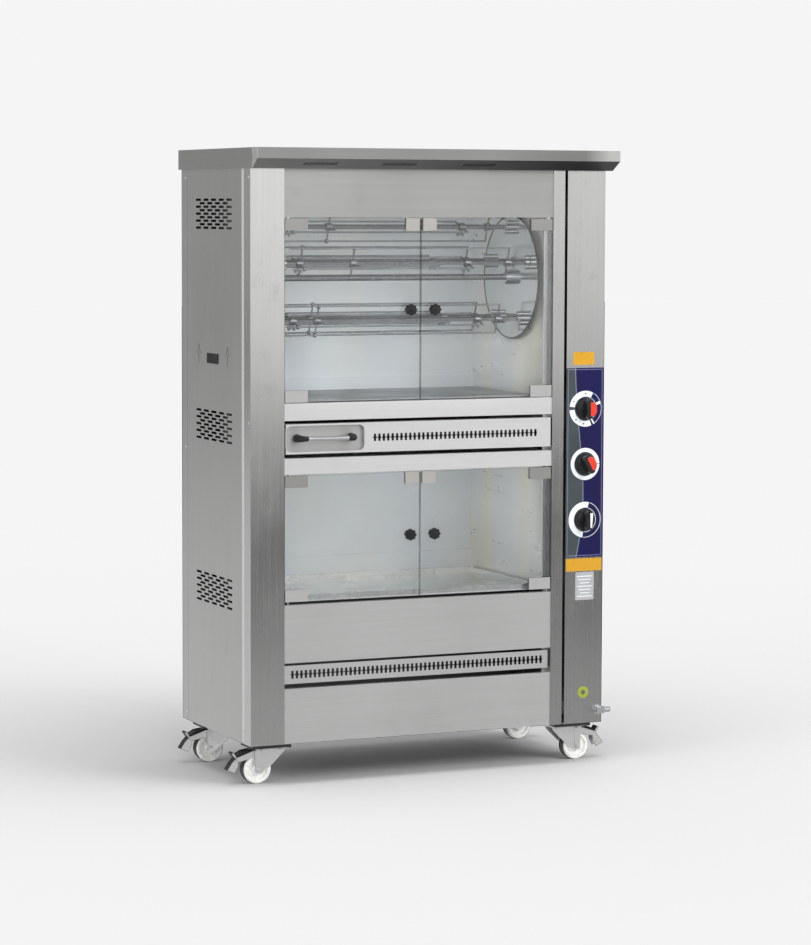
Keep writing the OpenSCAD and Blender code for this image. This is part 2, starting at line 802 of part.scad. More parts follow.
// Chrome bar bowed to the front, between two black elbows with flared feet
module drawer_handle() {
    z = 881;
    bar_x = [168, 296];
    bow_r = 420;
    bar_y = -19;
    end_r = 7.5;
    elbow_r = 14;
    straight = 6;
    flare = 9;
    mid = (bar_x[0] + bar_x[1]) / 2;
    half = (bar_x[1] - bar_x[0]) / 2;
    bow = asin(half / bow_r);
    floor_y = panel_y + recess_depth - sheet;
    color("silver") on_body() translate([mid, bow_r - 24, z]) rotate([0, 0, -90 - bow])
        rotate_extrude(angle = 2 * bow, $fn = 200) translate([bow_r, 0]) circle(6.5);
    color("black") on_body() for (side = [-1, 1]) {
        bend_x = mid + side * (half + straight);
        foot_x = bend_x + side * elbow_r;
        bar_end = mid + side * (half - 1);
        rod_x([min(bend_x, bar_end), max(bend_x, bar_end)], bar_y, z, end_r);
        translate([bend_x, bar_y + elbow_r, z]) rotate([0, 0, side < 0 ? 180 : 270])
            rotate_extrude(angle = 90) translate([elbow_r, 0]) circle(end_r);
        rod_y(foot_x, [bar_y + elbow_r, floor_y], z, end_r);
        translate([foot_x, floor_y - flare, z]) rotate([-90, 0, 0])
            cylinder(h = flare, r1 = end_r, r2 = 12);
    }
}

// ---------------------------------------------------------------- controls

// Round knob with a raised grip bar and an inlaid pointer
module control_knob(z, turn) {
    base_y = -1.4;
    color("black") on_body() translate([knob_x, 0, z]) rotate([0, turn, 0]) {
        translate([0, base_y, 0]) rotate([90, 0, 0]) cylinder(h = 10, r1 = knob_r, r2 = knob_r - 2);
        intersection() {
            block([-10, base_y - 34, -knob_r], [10, base_y - 9, knob_r]);
            translate([0, base_y, 0]) rotate([90, 0, 0]) cylinder(h = 40, r = knob_r - 4);
        }
        rod_y(0, [base_y, 48], 0, stem_r);
    }
}

// Pointer inlay on the edge of the grip bar
module knob_pointer(z, turn, tint) {
    color(tint) on_body() translate([knob_x, 0, z]) rotate([0, turn, 0])
        block([10.1, -32, -22], [13, -11.5, 22]);
}

module upper_gas_knob() {
    control_knob(knob_z[0], 0);
    knob_pointer(knob_z[0], 0, "red");
}

module middle_gas_knob() {
    control_knob(knob_z[1], -28);
    knob_pointer(knob_z[1], -28, "red");
}

module lower_control_knob() {
    control_knob(knob_z[2], 0);
    knob_pointer(knob_z[2], 0, "white");
}

module rocker_bezel() {
    color("black") on_body() difference() {
        union() {
            block([-2.5, rocker_y[0], rocker_z[0]], [0, rocker_y[1], rocker_z[1]]);
            block([-0.1, rocker_y[0] + 4.5, rocker_z[0] + 3.5], [16, rocker_y[1] - 4.5, rocker_z[1] - 3.5]);
        }
        block([-3, rocker_hole_y[0], rocker_hole_z[0]], [14, rocker_hole_y[1], rocker_hole_z[1]]);
        rod_z(rocker_axis[0], rocker_axis[1], rocker_hole_z + [-1, 1], rocker_pin_r + run_gap);
    }
}

// Rocker at rest in its off position; it tilts about a short upright pin
module power_rocker() {
    rest_tilt = 8;
    color("darkred") on_body() translate([rocker_axis[0], rocker_axis[1], rocker_hole_z[0]]) {
        rotate([0, 0, rest_tilt]) translate([0, 0, 1]) linear_extrude(rocker_hole_z[1] - rocker_hole_z[0] - 2)
            polygon([[-3, -30], [-7, -30], [-5.5, 0], [-7, 30], [-3, 30], [4, 4], [4, -4]]);
        rod_z(0, 0, [-0.9, rocker_hole_z[1] - rocker_hole_z[0] + 0.9], rocker_pin_r);
    }
}

// ---------------------------------------------------------------- castors

// Places a castor part: x_side and y_side pick the corner, and the trail points outwards in X
module at_castor(x_side, y_side) {
    x = x_side < 0 ? castor_in - body_w / 2 : body_w / 2 - castor_in;
    y = (y_side < 0 ? castor_in : body_d - castor_in) - front_y;
    translate([x, y, 0]) {
        if (x_side < 0) children();
        else mirror([1, 0, 0]) children();
    }
}

// Swivel fork: head round the kingpin, two ribbed legs, wheel axle and lever pin
module castor_fork() {
    top = castor_h - 7;
    leg = [[45, top - 6], [2, 53], [-trail + 12, 34], [-trail + 6, 30], [-trail - 7, 30],
        [-trail - 10, 35], [-trail - 12, top - 2], [45, top - 2]];
    rib = [[-trail + 12, top - 3], [-trail + 8, 44], [-trail - 8, 44], [-trail - 9, top - 3]];
    outer = fork_gap + leg_t;
    color("silver") difference() {
        union() {
            rod_z(0, 0, [top - 3, castor_h - 3.5], 24);
            block([-28, -outer, top - 3], [20, outer, top]);
            for (y = [-outer, fork_gap]) front_plate(y, leg_t) polygon(leg);
            for (y = [-outer - 1.5, outer]) front_plate(y, 1.5) polygon(rib);
            rod_y(-trail, [-outer - 4, outer + 4], wheel_r, axle_r);
            for (s = [-1, 1]) {
                rod_y(-trail, s < 0 ? [-outer - 3, -outer] : [outer, outer + 3], wheel_r, 7.5);
                rod_y(-trail, s < 0 ? [-fork_gap, -wheel_half - 1] : [wheel_half + 1, fork_gap], wheel_r, 7);
            }
            rod_y(pedal_pin[0], [-outer - 1, outer + 1], pedal_pin[1], 3);
        }
        rod_z(0, 0, [0, castor_h], kingpin_r + run_gap);
        rod_z(0, 0, [0, top - 3], 11);
    }
}

module castor_wheel() {
    half = wheel_half;
    color("white") translate([-trail, 0, wheel_r]) rotate([90, 0, 0]) rotate_extrude($fn = 96) polygon([
        [axle_r + run_gap, -half], [12, -half], [14, -13], [28, -13], [31, -half + 1], [wheel_r - 4, -half],
        [wheel_r, 4 - half], [wheel_r, half - 4], [wheel_r - 4, half], [31, half - 1], [28, 13], [14, 13],
        [12, half], [axle_r + run_gap, half]]);
}

// Brake lever: a channel over the wheel on the lever pin, with a shoe, a lip and a curved paddle
module castor_brake() {
    cheek_t = 1.6;
    half = 20.8;
    pin_x = pedal_pin[0];
    pin_z = pedal_pin[1];
    color("dimgray") difference() {
        union() {
            rod_y(pin_x, [-half, half], pin_z, 5);
            front_plate(-half, 2 * half)
                polygon([[-35, 95.5], [-50, 98], [-104, 80], [-103, 77.5], [-50, 95.5], [-35, 93]]);
            for (y = [-half, half - cheek_t]) front_plate(y, cheek_t)
                polygon([[-35, 94], [-50, 97], [-104, 79], [-103, 71], [-96, 68], [-50, 78], [-36, 86]]);
            // Shoe
            front_plate(-12, 24) polygon([[-58, 94], [-62, 84], [-71, 80], [-75, 83], [-76, 89]]);
            // Upper lip, curved paddle and its two ribs
            front_plate(-14, 28) polygon([[-100, 79], [-112, 95], [-116, 92], [-105, 76]]);
            front_plate(-14, 28) polygon([[-98, 81], [-106, 75], [-117, 63], [-129, 45], [-126, 43],
                [-115, 59], [-103, 70], [-97, 73]]);
            for (y = [-14, 12.4]) front_plate(y, cheek_t)
                polygon([[-96, 74], [-104, 71], [-116, 60], [-126, 43.5], [-108, 35], [-97, 55]]);
        }
        rod_y(pin_x, [-half - 1, half + 1], pin_z, 3 + run_gap);
    }
}

module front_left_fork() { at_castor(-1, -1) castor_fork(); }
module front_left_wheel() { at_castor(-1, -1) castor_wheel(); }
module front_left_brake() { at_castor(-1, -1) castor_brake(); }
module front_right_fork() { at_castor(1, -1) castor_fork(); }
module front_right_wheel() { at_castor(1, -1) castor_wheel(); }
module front_right_brake() { at_castor(1, -1) castor_brake(); }
module rear_left_fork() { at_castor(-1, 1) castor_fork(); }
module rear_left_wheel() { at_castor(-1, 1) castor_wheel(); }
module rear_left_brake() { at_castor(-1, 1) castor_brake(); }
module rear_right_fork() { at_castor(1, 1) castor_fork(); }
module rear_right_wheel() { at_castor(1, 1) castor_wheel(); }
module rear_right_brake() { at_castor(1, 1) castor_brake(); }

// ---------------------------------------------------------------- fasteners

// Dome-headed rivet standing proud of a side face at (y, z)
module side_rivet(x_side, y, z) {
    x = x_side < 0 ? 0 : body_w;
    translate([x, y, z]) rotate([0, x_side * 90, 0]) cylinder(h = 1.6, r1 = 4, r2 = 2.6);
}

module fasteners() {
    color("silver") on_body() {
        for (s = [-1, 1]) {
            for (z = [25, 825, body_h - 25]) side_rivet(s, body_d - 35, z);
            for (z = [25, 928, body_h - 25]) side_rivet(s, 13, z);
        }
        for (x = [body_w - 318, body_w - 72], z = [580, 1000, 1420])
            translate([x, body_d + 1.5, z]) rotate([-90, 0, 0]) cylinder(h = 2, r1 = 5, r2 = 3.5);
        for (x = [20 : 218.2 : body_w - 15], z = [14, body_h - 14])
            translate([x, body_d, z]) rotate([-90, 0, 0]) cylinder(h = 2, r1 = 5, r2 = 3.5);
        castor_bolt_places() {
            rod_z(0, 0, [-7, chassis_h + 7], 4);
            translate([0, 0, -7]) cylinder(h = 4, r = 7, $fn = 6);
            translate([0, 0, chassis_h]) cylinder(h = 5, r = 7, $fn = 6);
        }
    }
}

chassis_frame();
castor_plates();
left_side_panel();
right_side_panel();
back_panel();
left_column();
right_column();
control_column();
control_overlay();
hood();
header_panel();
front_rails();
lower_panels();
roast_chamber();
warming_chamber();
warming_tray();
roof_burners();
gas_train();
gas_inlet();
gearmotor();
sun_gear();
door_pivots();
shaft_bearings();
rocker_bezel();
fasteners();
drawer_front();
drawer_tray();
drawer_handle();
upper_left_door_glass();
upper_left_door_fittings();
upper_right_door_glass();
upper_right_door_fittings();
lower_left_door_glass();
lower_left_door_fittings();
lower_right_door_glass();
lower_right_door_fittings();
carousel_shaft();
left_disc();
right_disc();
spit_1();
spit_2();
spit_3();
spit_4();
spit_5();
upper_gas_knob();
middle_gas_knob();
lower_control_knob();
power_rocker();
front_left_fork();
front_left_wheel();
front_left_brake();
front_right_fork();
front_right_wheel();
front_right_brake();
rear_left_fork();
rear_left_wheel();
rear_left_brake();
rear_right_fork();
rear_right_wheel();
rear_right_brake();
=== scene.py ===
"""Looks of the vertical rotisserie broiler: materials, small detail pieces, stage, lights and camera."""

import json
import math

import bmesh
import bpy
from mathutils import Matrix, Vector


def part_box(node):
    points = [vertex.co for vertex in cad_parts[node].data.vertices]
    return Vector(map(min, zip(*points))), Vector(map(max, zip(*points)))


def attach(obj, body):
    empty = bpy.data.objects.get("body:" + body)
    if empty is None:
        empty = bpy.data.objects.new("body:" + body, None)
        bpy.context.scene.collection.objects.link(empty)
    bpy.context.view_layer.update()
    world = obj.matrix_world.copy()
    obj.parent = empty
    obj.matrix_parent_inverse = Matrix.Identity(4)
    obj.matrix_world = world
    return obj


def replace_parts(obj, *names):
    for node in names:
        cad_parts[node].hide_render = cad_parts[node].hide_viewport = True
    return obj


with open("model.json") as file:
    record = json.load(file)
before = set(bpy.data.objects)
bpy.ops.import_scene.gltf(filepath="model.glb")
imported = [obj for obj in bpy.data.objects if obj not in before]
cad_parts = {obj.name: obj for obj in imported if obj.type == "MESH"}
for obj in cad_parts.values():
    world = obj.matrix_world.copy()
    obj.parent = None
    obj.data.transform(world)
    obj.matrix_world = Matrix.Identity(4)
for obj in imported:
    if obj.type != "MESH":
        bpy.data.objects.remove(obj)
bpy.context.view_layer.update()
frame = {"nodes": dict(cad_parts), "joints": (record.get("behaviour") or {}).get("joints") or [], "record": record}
nodes = frame["nodes"]
joints = {joint["name"]: joint for joint in frame["joints"]}
MM = 0.001


# ---------------------------------------------------------------- shader helper

class Shader:
    """A material's node tree, with short calls for the nodes used here."""

    def __init__(self, name):
        self.material = bpy.data.materials.new(name)
        self.material.use_nodes = True
        self.tree = self.material.node_tree
        self.tree.nodes.clear()
        self.output = self.add("ShaderNodeOutputMaterial")
        self.place = self.add("ShaderNodeTexCoord").outputs["Object"]

    def add(self, kind, **settings):
        node = self.tree.nodes.new(kind)
        for key, value in settings.items():
            setattr(node, key, value)
        return node

    def feed(self, socket, value):
        """Links a socket, or sets a plain value."""
        if isinstance(value, bpy.types.NodeSocket):
            self.tree.links.new(value, socket)
        elif socket.type == "RGBA" and len(value) == 3:
            socket.default_value = (*value, 1.0)
        else:
            socket.default_value = value

    def math(self, operation, a, b=0.0, clamp=False):
        node = self.add("ShaderNodeMath", operation=operation, use_clamp=clamp)
        self.feed(node.inputs[0], a)
        self.feed(node.inputs[1], b)
        return node.outputs[0]

    def scale(self, value, low, high, new_low=0.0, new_high=1.0):
        """Maps value from low..high to new_low..new_high, and holds it there."""
        node = self.add("ShaderNodeMapRange")
        self.feed(node.inputs["Value"], value)
        for key, number in zip(("From Min", "From Max", "To Min", "To Max"), (low, high, new_low, new_high)):
            self.feed(node.inputs[key], number)
        return node.outputs["Result"]

    def mix(self, factor, a, b):
        node = self.add("ShaderNodeMix", data_type="RGBA")
        self.feed(node.inputs["Factor"], factor)
        self.feed(node.inputs[6], a)
        self.feed(node.inputs[7], b)
        return node.outputs[2]

    def noise(self, stretch, detail=3.0, roughness=0.55, offset=0.0):
        """Noise on object coordinates in metres, with its own scale along each axis."""
        mapping = self.add("ShaderNodeMapping")
        self.feed(mapping.inputs["Vector"], self.place)
        mapping.inputs["Scale"].default_value = stretch
        mapping.inputs["Location"].default_value = (offset, offset, offset)
        noise = self.add("ShaderNodeTexNoise")
        self.feed(noise.inputs["Vector"], mapping.outputs[0])
        self.feed(noise.inputs["Scale"], 1.0)
        self.feed(noise.inputs["Detail"], detail)
        self.feed(noise.inputs["Roughness"], roughness)
        return noise.outputs["Fac"]

    def axis(self, name):
        """One object coordinate, in metres."""
        split = self.add("ShaderNodeSeparateXYZ")
        self.feed(split.inputs[0], self.place)
        return split.outputs[name]

    def turned_away(self):
        """0 where a face looks at the viewer, and 1 where it is seen edge-on."""
        return self.add("ShaderNodeLayerWeight").outputs["Facing"]

    def bump(self, height, distance, strength=1.0, below=None):
        node = self.add("ShaderNodeBump")
        self.feed(node.inputs["Height"], height)
        self.feed(node.inputs["Distance"], distance)
        self.feed(node.inputs["Strength"], strength)
        if below is not None:
            self.feed(node.inputs["Normal"], below)
        return node.outputs[0]

    def surface(self, **inputs):
        """Ends the tree in a Principled shader; underscores in a name stand for spaces."""
        node = self.add("ShaderNodeBsdfPrincipled")
        for key, value in inputs.items():
            self.feed(node.inputs[key.replace("_", " ")], value)
        self.feed(self.output.inputs["Surface"], node.outputs[0])
        return self.material


def shade(color, factor):
    """The colour times a factor, held at full white."""
    return tuple(min(1.0, channel * factor) for channel in color)


def cross_grain_tangent(s, grain):
    """Direction across the grain on any face, for the stretched highlight of brushed metal."""
    direction = [1.0 if name == grain else 0.03 for name in "xyz"]
    normal = s.add("ShaderNodeNewGeometry").outputs["Normal"]
    cross = s.add("ShaderNodeVectorMath", operation="CROSS_PRODUCT")
    s.feed(cross.inputs[0], normal)
    s.feed(cross.inputs[1], direction)
    return cross.outputs[0]


# ---------------------------------------------------------------- materials

def brushed_steel(name, color, grain, roughness=0.34, stretched=0.55, metallic=1.0, painted_reflection_fades=()):
    """Stainless sheet: fine grain, broader streaks and faint finger marks.

    Each fade (start, end, factor) is a painted reflection: it changes the tone along X from the first place to the
    second."""
    s = Shader(name)
    fine = s.noise(tuple(4.0 if axis == grain else 850.0 for axis in "xyz"), 4.0, 0.65)
    streak = s.noise(tuple(1.5 if axis == grain else 90.0 for axis in "xyz"), 3.0, 0.5, 3.7)
    smudge = s.noise((3.1, 3.1, 2.3), 4.0, 0.6, 9.1)
    marks = s.scale(s.noise((14.0, 14.0, 9.0), 5.0, 0.7, 21.0), 0.58, 0.75)
    tone = s.math("ADD", s.scale(fine, 0.3, 0.7, -0.035, 0.035), s.scale(streak, 0.3, 0.7, -0.025, 0.025))
    tone = s.math("ADD", tone, s.scale(smudge, 0.3, 0.7, -0.03, 0.02))
    tint = s.mix(s.math("ADD", tone, 0.5, clamp=True), shade(color, 0.55), shade(color, 1.45))
    tint = s.mix(s.math("MULTIPLY", marks, 0.07), tint, shade(color, 0.6))
    # painted reflection: each fade shifts the base colour along X
    for start, end, factor in painted_reflection_fades:
        tint = s.mix(s.scale(s.axis("X"), start, end), tint, shade(color, factor))
    rough = s.math("ADD", s.scale(fine, 0.3, 0.7, -0.05, 0.05), roughness)
    rough = s.math("ADD", rough, s.scale(smudge, 0.35, 0.65, -0.03, 0.05))
    rough = s.math("ADD", rough, s.math("MULTIPLY", marks, 0.07))
    normal = s.bump(fine, 0.00004, 0.5, s.bump(smudge, 0.0012, 0.12))
    return s.surface(Base_Color=tint, Metallic=metallic, Roughness=rough, Normal=normal, Anisotropic=stretched,
                     Tangent=cross_grain_tangent(s, grain))


def polished_steel(name, color, roughness=0.30, waviness=0.25, metallic=1.0, cream_reflection=0.0):
    """Bright liner sheet: soft waves, wipe marks, dark spots and a straw tint from heat; the last argument adds upright
    cream bands of painted reflection.
    """
    s = Shader(name)
    wipe = s.noise((6.0, 6.0, 30.0), 4.0, 0.6)
    wave = s.noise((2.6, 2.6, 2.1), 2.0, 0.5, 5.0)
    spots = s.scale(s.noise((150.0, 150.0, 150.0), 2.0, 0.5, 11.0), 0.68, 0.78)
    tint = s.mix(s.scale(wave, 0.35, 0.65), color, shade(color, 0.93))
    tint = s.mix(s.math("MULTIPLY", s.scale(wave, 0.5, 0.72), 0.35), tint, (0.86, 0.82, 0.70))
    tint = s.mix(s.math("MULTIPLY", spots, 0.2), tint, (0.45, 0.42, 0.37))
    # painted reflection: upright cream bands, as strong as the last argument
    reflection_band_mask = s.scale(s.noise((7.0, 7.0, 0.8), 2.0, 0.5, 13.0), 0.45, 0.62)
    tint = s.mix(s.math("MULTIPLY", reflection_band_mask, cream_reflection), tint, (0.95, 0.90, 0.70))
    rough = s.math("ADD", s.scale(wipe, 0.3, 0.7, -0.04, 0.07), roughness)
    rough = s.math("ADD", rough, s.math("MULTIPLY", spots, 0.1))
    normal = s.bump(wave, 0.004, waviness, s.bump(wipe, 0.00002, 0.4))
    return s.surface(Base_Color=tint, Metallic=metallic, Roughness=rough, Normal=normal)


def chrome(name, color=(0.78, 0.79, 0.80), roughness=0.09):
    """Chrome plate with a slight haze and long scuffs."""
    s = Shader(name)
    haze = s.noise((45.0, 45.0, 45.0), 4.0, 0.6)
    scuff = s.scale(s.noise((300.0, 90.0, 300.0), 3.0, 0.6, 4.0), 0.62, 0.78)
    tint = s.mix(s.scale(haze, 0.3, 0.7), color, shade(color, 0.88))
    rough = s.math("ADD", s.scale(haze, 0.3, 0.7, -0.02, 0.06), roughness)
    rough = s.math("ADD", rough, s.math("MULTIPLY", scuff, 0.18))
    return s.surface(Base_Color=tint, Metallic=1.0, Roughness=rough, Normal=s.bump(haze, 0.0002, 0.2))


def cooked_rod(name):
    """Spit steel that has been through many roasts: stained, and darkened where it is seen edge-on as a painted
    reflection of dark surroundings.
    """
    s = Shader(name)
    grime = s.noise((25.0, 60.0, 60.0), 5.0, 0.65)
    draw = s.noise((5.0, 900.0, 900.0), 2.0, 0.5, 2.0)
    tint = s.mix(s.scale(grime, 0.5, 0.8), (0.60, 0.61, 0.63), (0.26, 0.24, 0.22))
    # painted reflection: near black where the rod is seen edge-on
    tint = s.mix(s.scale(s.turned_away(), 0.16, 0.62), tint, (0.035, 0.037, 0.042))
    rough = s.scale(grime, 0.3, 0.8, 0.12, 0.36)
    return s.surface(Base_Color=tint, Metallic=1.0, Roughness=rough, Normal=s.bump(draw, 0.0001, 0.5))


def zinc(name, color=(0.80, 0.80, 0.82)):
    """Bright zinc plating, cloudy and slightly yellow in places."""
    s = Shader(name)
    cloud = s.noise((38.0, 38.0, 38.0), 4.0, 0.6)
    grit = s.noise((420.0, 420.0, 420.0), 2.0, 0.5, 8.0)
    tint = s.mix(s.scale(cloud, 0.3, 0.7), color, (0.68, 0.68, 0.66))
    tint = s.mix(s.scale(grit, 0.62, 0.8, 0.0, 0.35), tint, (0.25, 0.24, 0.22))
    rough = s.scale(cloud, 0.3, 0.7, 0.26, 0.42)
    return s.surface(Base_Color=tint, Metallic=0.92, Roughness=rough, Normal=s.bump(grit, 0.00015, 0.5))


def cast_metal(name, color, roughness=0.5):
    """Sand-cast or machined metal, with oily patches."""
    s = Shader(name)
    sand = s.noise((320.0, 320.0, 320.0), 4.0, 0.6)
    oil = s.noise((22.0, 22.0, 22.0), 3.0, 0.6, 6.0)
    tint = s.mix(s.scale(oil, 0.42, 0.7), color, shade(color, 0.5))
    rough = s.math("ADD", s.scale(oil, 0.4, 0.7, 0.05, -0.15), roughness)
    return s.surface(Base_Color=tint, Metallic=0.85, Roughness=rough, Normal=s.bump(sand, 0.0003, 0.6))


def moulded_plastic(name, color, roughness=0.42, grain=520.0, coat=0.0):
    """Moulded plastic with a spark-eroded grain, and rubbed patches that shine."""
    s = Shader(name)
    pits = s.noise((grain, grain, grain), 3.0, 0.55)
    rub = s.noise((26.0, 26.0, 26.0), 4.0, 0.6, 3.0)
    tint = s.mix(s.scale(rub, 0.35, 0.7), color, tuple(min(1.0, channel * 1.25 + 0.006) for channel in color))
    rough = s.math("ADD", s.scale(rub, 0.35, 0.7, -0.08, 0.08), roughness)
    return s.surface(Base_Color=tint, Roughness=rough, Coat_Weight=coat, Coat_Roughness=0.2,
                     Specular_IOR_Level=0.22, Normal=s.bump(pits, 0.00012, 0.55))


def painted_frame(name):
    """Black painted tube, dusty, with a slight orange peel."""
    s = Shader(name)
    peel = s.noise((160.0, 160.0, 160.0), 2.0, 0.5)
    dust = s.scale(s.noise((12.0, 12.0, 12.0), 4.0, 0.65, 5.0), 0.5, 0.75)
    tint = s.mix(s.math("MULTIPLY", dust, 0.3), (0.018, 0.018, 0.020), (0.11, 0.10, 0.09))
    return s.surface(Base_Color=tint, Roughness=s.scale(dust, 0.0, 1.0, 0.38, 0.62),
                     Normal=s.bump(peel, 0.0004, 0.4))


def brass(name):
    """Plain brass, a little tarnished."""
    s = Shader(name)
    tarnish = s.noise((30.0, 30.0, 12.0), 5.0, 0.65)
    tint = s.mix(s.scale(tarnish, 0.4, 0.7), (0.72, 0.55, 0.26), (0.36, 0.26, 0.13))
    return s.surface(Base_Color=tint, Metallic=1.0, Roughness=s.scale(tarnish, 0.35, 0.7, 0.22, 0.45),
                     Normal=s.bump(tarnish, 0.0003, 0.3))


def nylon(name):
    """White castor tyre: slightly translucent, with grey scuffs round the tread."""
    s = Shader(name)
    scuff = s.scale(s.noise((90.0, 40.0, 90.0), 4.0, 0.65), 0.5, 0.72)
    fine = s.noise((380.0, 380.0, 380.0), 2.0, 0.5, 2.0)
    tint = s.mix(s.math("MULTIPLY", scuff, 0.45), (0.80, 0.80, 0.77), (0.38, 0.37, 0.35))
    return s.surface(Base_Color=tint, Roughness=s.scale(scuff, 0.0, 1.0, 0.32, 0.6), Subsurface_Weight=0.08,
                     Subsurface_Radius=(0.004, 0.004, 0.003), Normal=s.bump(fine, 0.0001, 0.5))


def clear_glass(name):
    """Thin door glass: see-through faces with a faint shine and haze, and greener cut edges."""
    s = Shader(name)
    haze = s.noise((5.0, 5.0, 7.0), 4.0, 0.6)
    wipe = s.noise((70.0, 70.0, 8.0), 3.0, 0.6, 5.0)
    clear = s.add("ShaderNodeBsdfTransparent")
    s.feed(clear.inputs["Color"], (0.966, 0.972, 0.976))
    shine = s.add("ShaderNodeBsdfGlossy")
    s.feed(shine.inputs["Color"], (1.0, 1.0, 1.0))
    s.feed(shine.inputs["Roughness"], s.scale(wipe, 0.3, 0.7, 0.01, 0.06))
    film = s.add("ShaderNodeBsdfDiffuse")
    s.feed(film.inputs["Color"], (0.75, 0.80, 0.82))
    fresnel = s.add("ShaderNodeFresnel")
    s.feed(fresnel.inputs["IOR"], 1.42)
    face = s.add("ShaderNodeMixShader")
    s.feed(face.inputs[0], s.math("MULTIPLY", fresnel.outputs[0], 0.85))
    s.feed(face.inputs[1], clear.outputs[0])
    s.feed(face.inputs[2], shine.outputs[0])
    dusty = s.add("ShaderNodeMixShader")
    s.feed(dusty.inputs[0], s.scale(haze, 0.35, 0.75, 0.01, 0.045))
    s.feed(dusty.inputs[1], face.outputs[0])
    s.feed(dusty.inputs[2], film.outputs[0])
    edge = s.add("ShaderNodeBsdfPrincipled")
    s.feed(edge.inputs["Base Color"], (0.025, 0.05, 0.045))
    s.feed(edge.inputs["Roughness"], 0.3)
    s.feed(edge.inputs["Specular IOR Level"], 0.25)
    split = s.add("ShaderNodeSeparateXYZ")
    s.feed(split.inputs[0], s.add("ShaderNodeTexCoord").outputs["Normal"])
    cut_face = s.math("LESS_THAN", s.math("ABSOLUTE", split.outputs["Y"]), 0.5)
    whole = s.add("ShaderNodeMixShader")
    s.feed(whole.inputs[0], s.math("MULTIPLY", cut_face, 0.75))
    s.feed(whole.inputs[1], dusty.outputs[0])
    s.feed(whole.inputs[2], edge.outputs[0])
    s.feed(s.output.inputs["Surface"], whole.outputs[0])
    return s.material


def overlay_film(name):
    """Navy control film with a grey-green band down its left side, and a pale outline."""
    s = Shader(name)
    low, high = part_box("control_overlay")
    x = s.math("SUBTRACT", s.axis("X"), low.x)
    z = s.math("DIVIDE", s.math("SUBTRACT", s.axis("Z"), low.z), high.z - low.z)
    down = s.math("SUBTRACT", 1.0, z, clamp=True)
    swell = s.math("SINE", s.math("MULTIPLY", s.math("POWER", down, 1.67), math.pi))
    border = s.math("ADD", s.math("MULTIPLY", swell, 0.024),
                    s.math("ADD", s.math("MULTIPLY", down, 0.006), 0.029))
    band = s.scale(s.math("SUBTRACT", border, x), -0.0015, 0.0015)
    silk = s.noise((300.0, 300.0, 300.0), 2.0, 0.5)
    fade = s.noise((8.0, 8.0, 5.0), 3.0, 0.6, 3.0)
    navy = s.mix(s.scale(fade, 0.3, 0.7), (0.001, 0.002, 0.060), (0.006, 0.002, 0.046))
    olive = s.mix(s.scale(fade, 0.3, 0.7), (0.050, 0.064, 0.068), (0.034, 0.044, 0.052))
    tint = s.mix(band, navy, olive)
    rim = s.scale(s.math("ABSOLUTE", s.math("SUBTRACT", x, border)), 0.0006, 0.0016, 0.5, 0.0)
    tint = s.mix(rim, tint, (0.35, 0.40, 0.48))
    edge_gap = s.math("MINIMUM", x, s.math("SUBTRACT", high.x - low.x, x))
    ends = s.math("MULTIPLY", s.math("MINIMUM", z, s.math("SUBTRACT", 1.0, z)), high.z - low.z)
    line = s.math("ABSOLUTE", s.math("SUBTRACT", s.math("MINIMUM", edge_gap, ends), 0.005))
    tint = s.mix(s.scale(line, 0.0005, 0.0011, 0.55, 0.0), tint, (0.30, 0.30, 0.45))
    return s.surface(Base_Color=tint, Roughness=s.scale(fade, 0.3, 0.7, 0.36, 0.46), Specular_IOR_Level=0.3,
                     Normal=s.bump(silk, 0.00006, 0.4))


def printed(name, color, roughness=0.4):
    """Printed film or enamel: nearly even, with a slight wear and ink grain."""
    s = Shader(name)
    ink = s.noise((240.0, 240.0, 240.0), 3.0, 0.6)
    wear = s.scale(s.noise((35.0, 35.0, 35.0), 4.0, 0.65, 7.0), 0.55, 0.75)
    tint = s.mix(s.scale(ink, 0.3, 0.7), shade(color, 0.92), shade(color, 1.05))
    tint = s.mix(s.math("MULTIPLY", wear, 0.25), tint, shade(color, 0.6))
    return s.surface(Base_Color=tint, Roughness=s.scale(wear, 0.0, 1.0, roughness, roughness + 0.15),
                     Normal=s.bump(ink, 0.00005, 0.4))


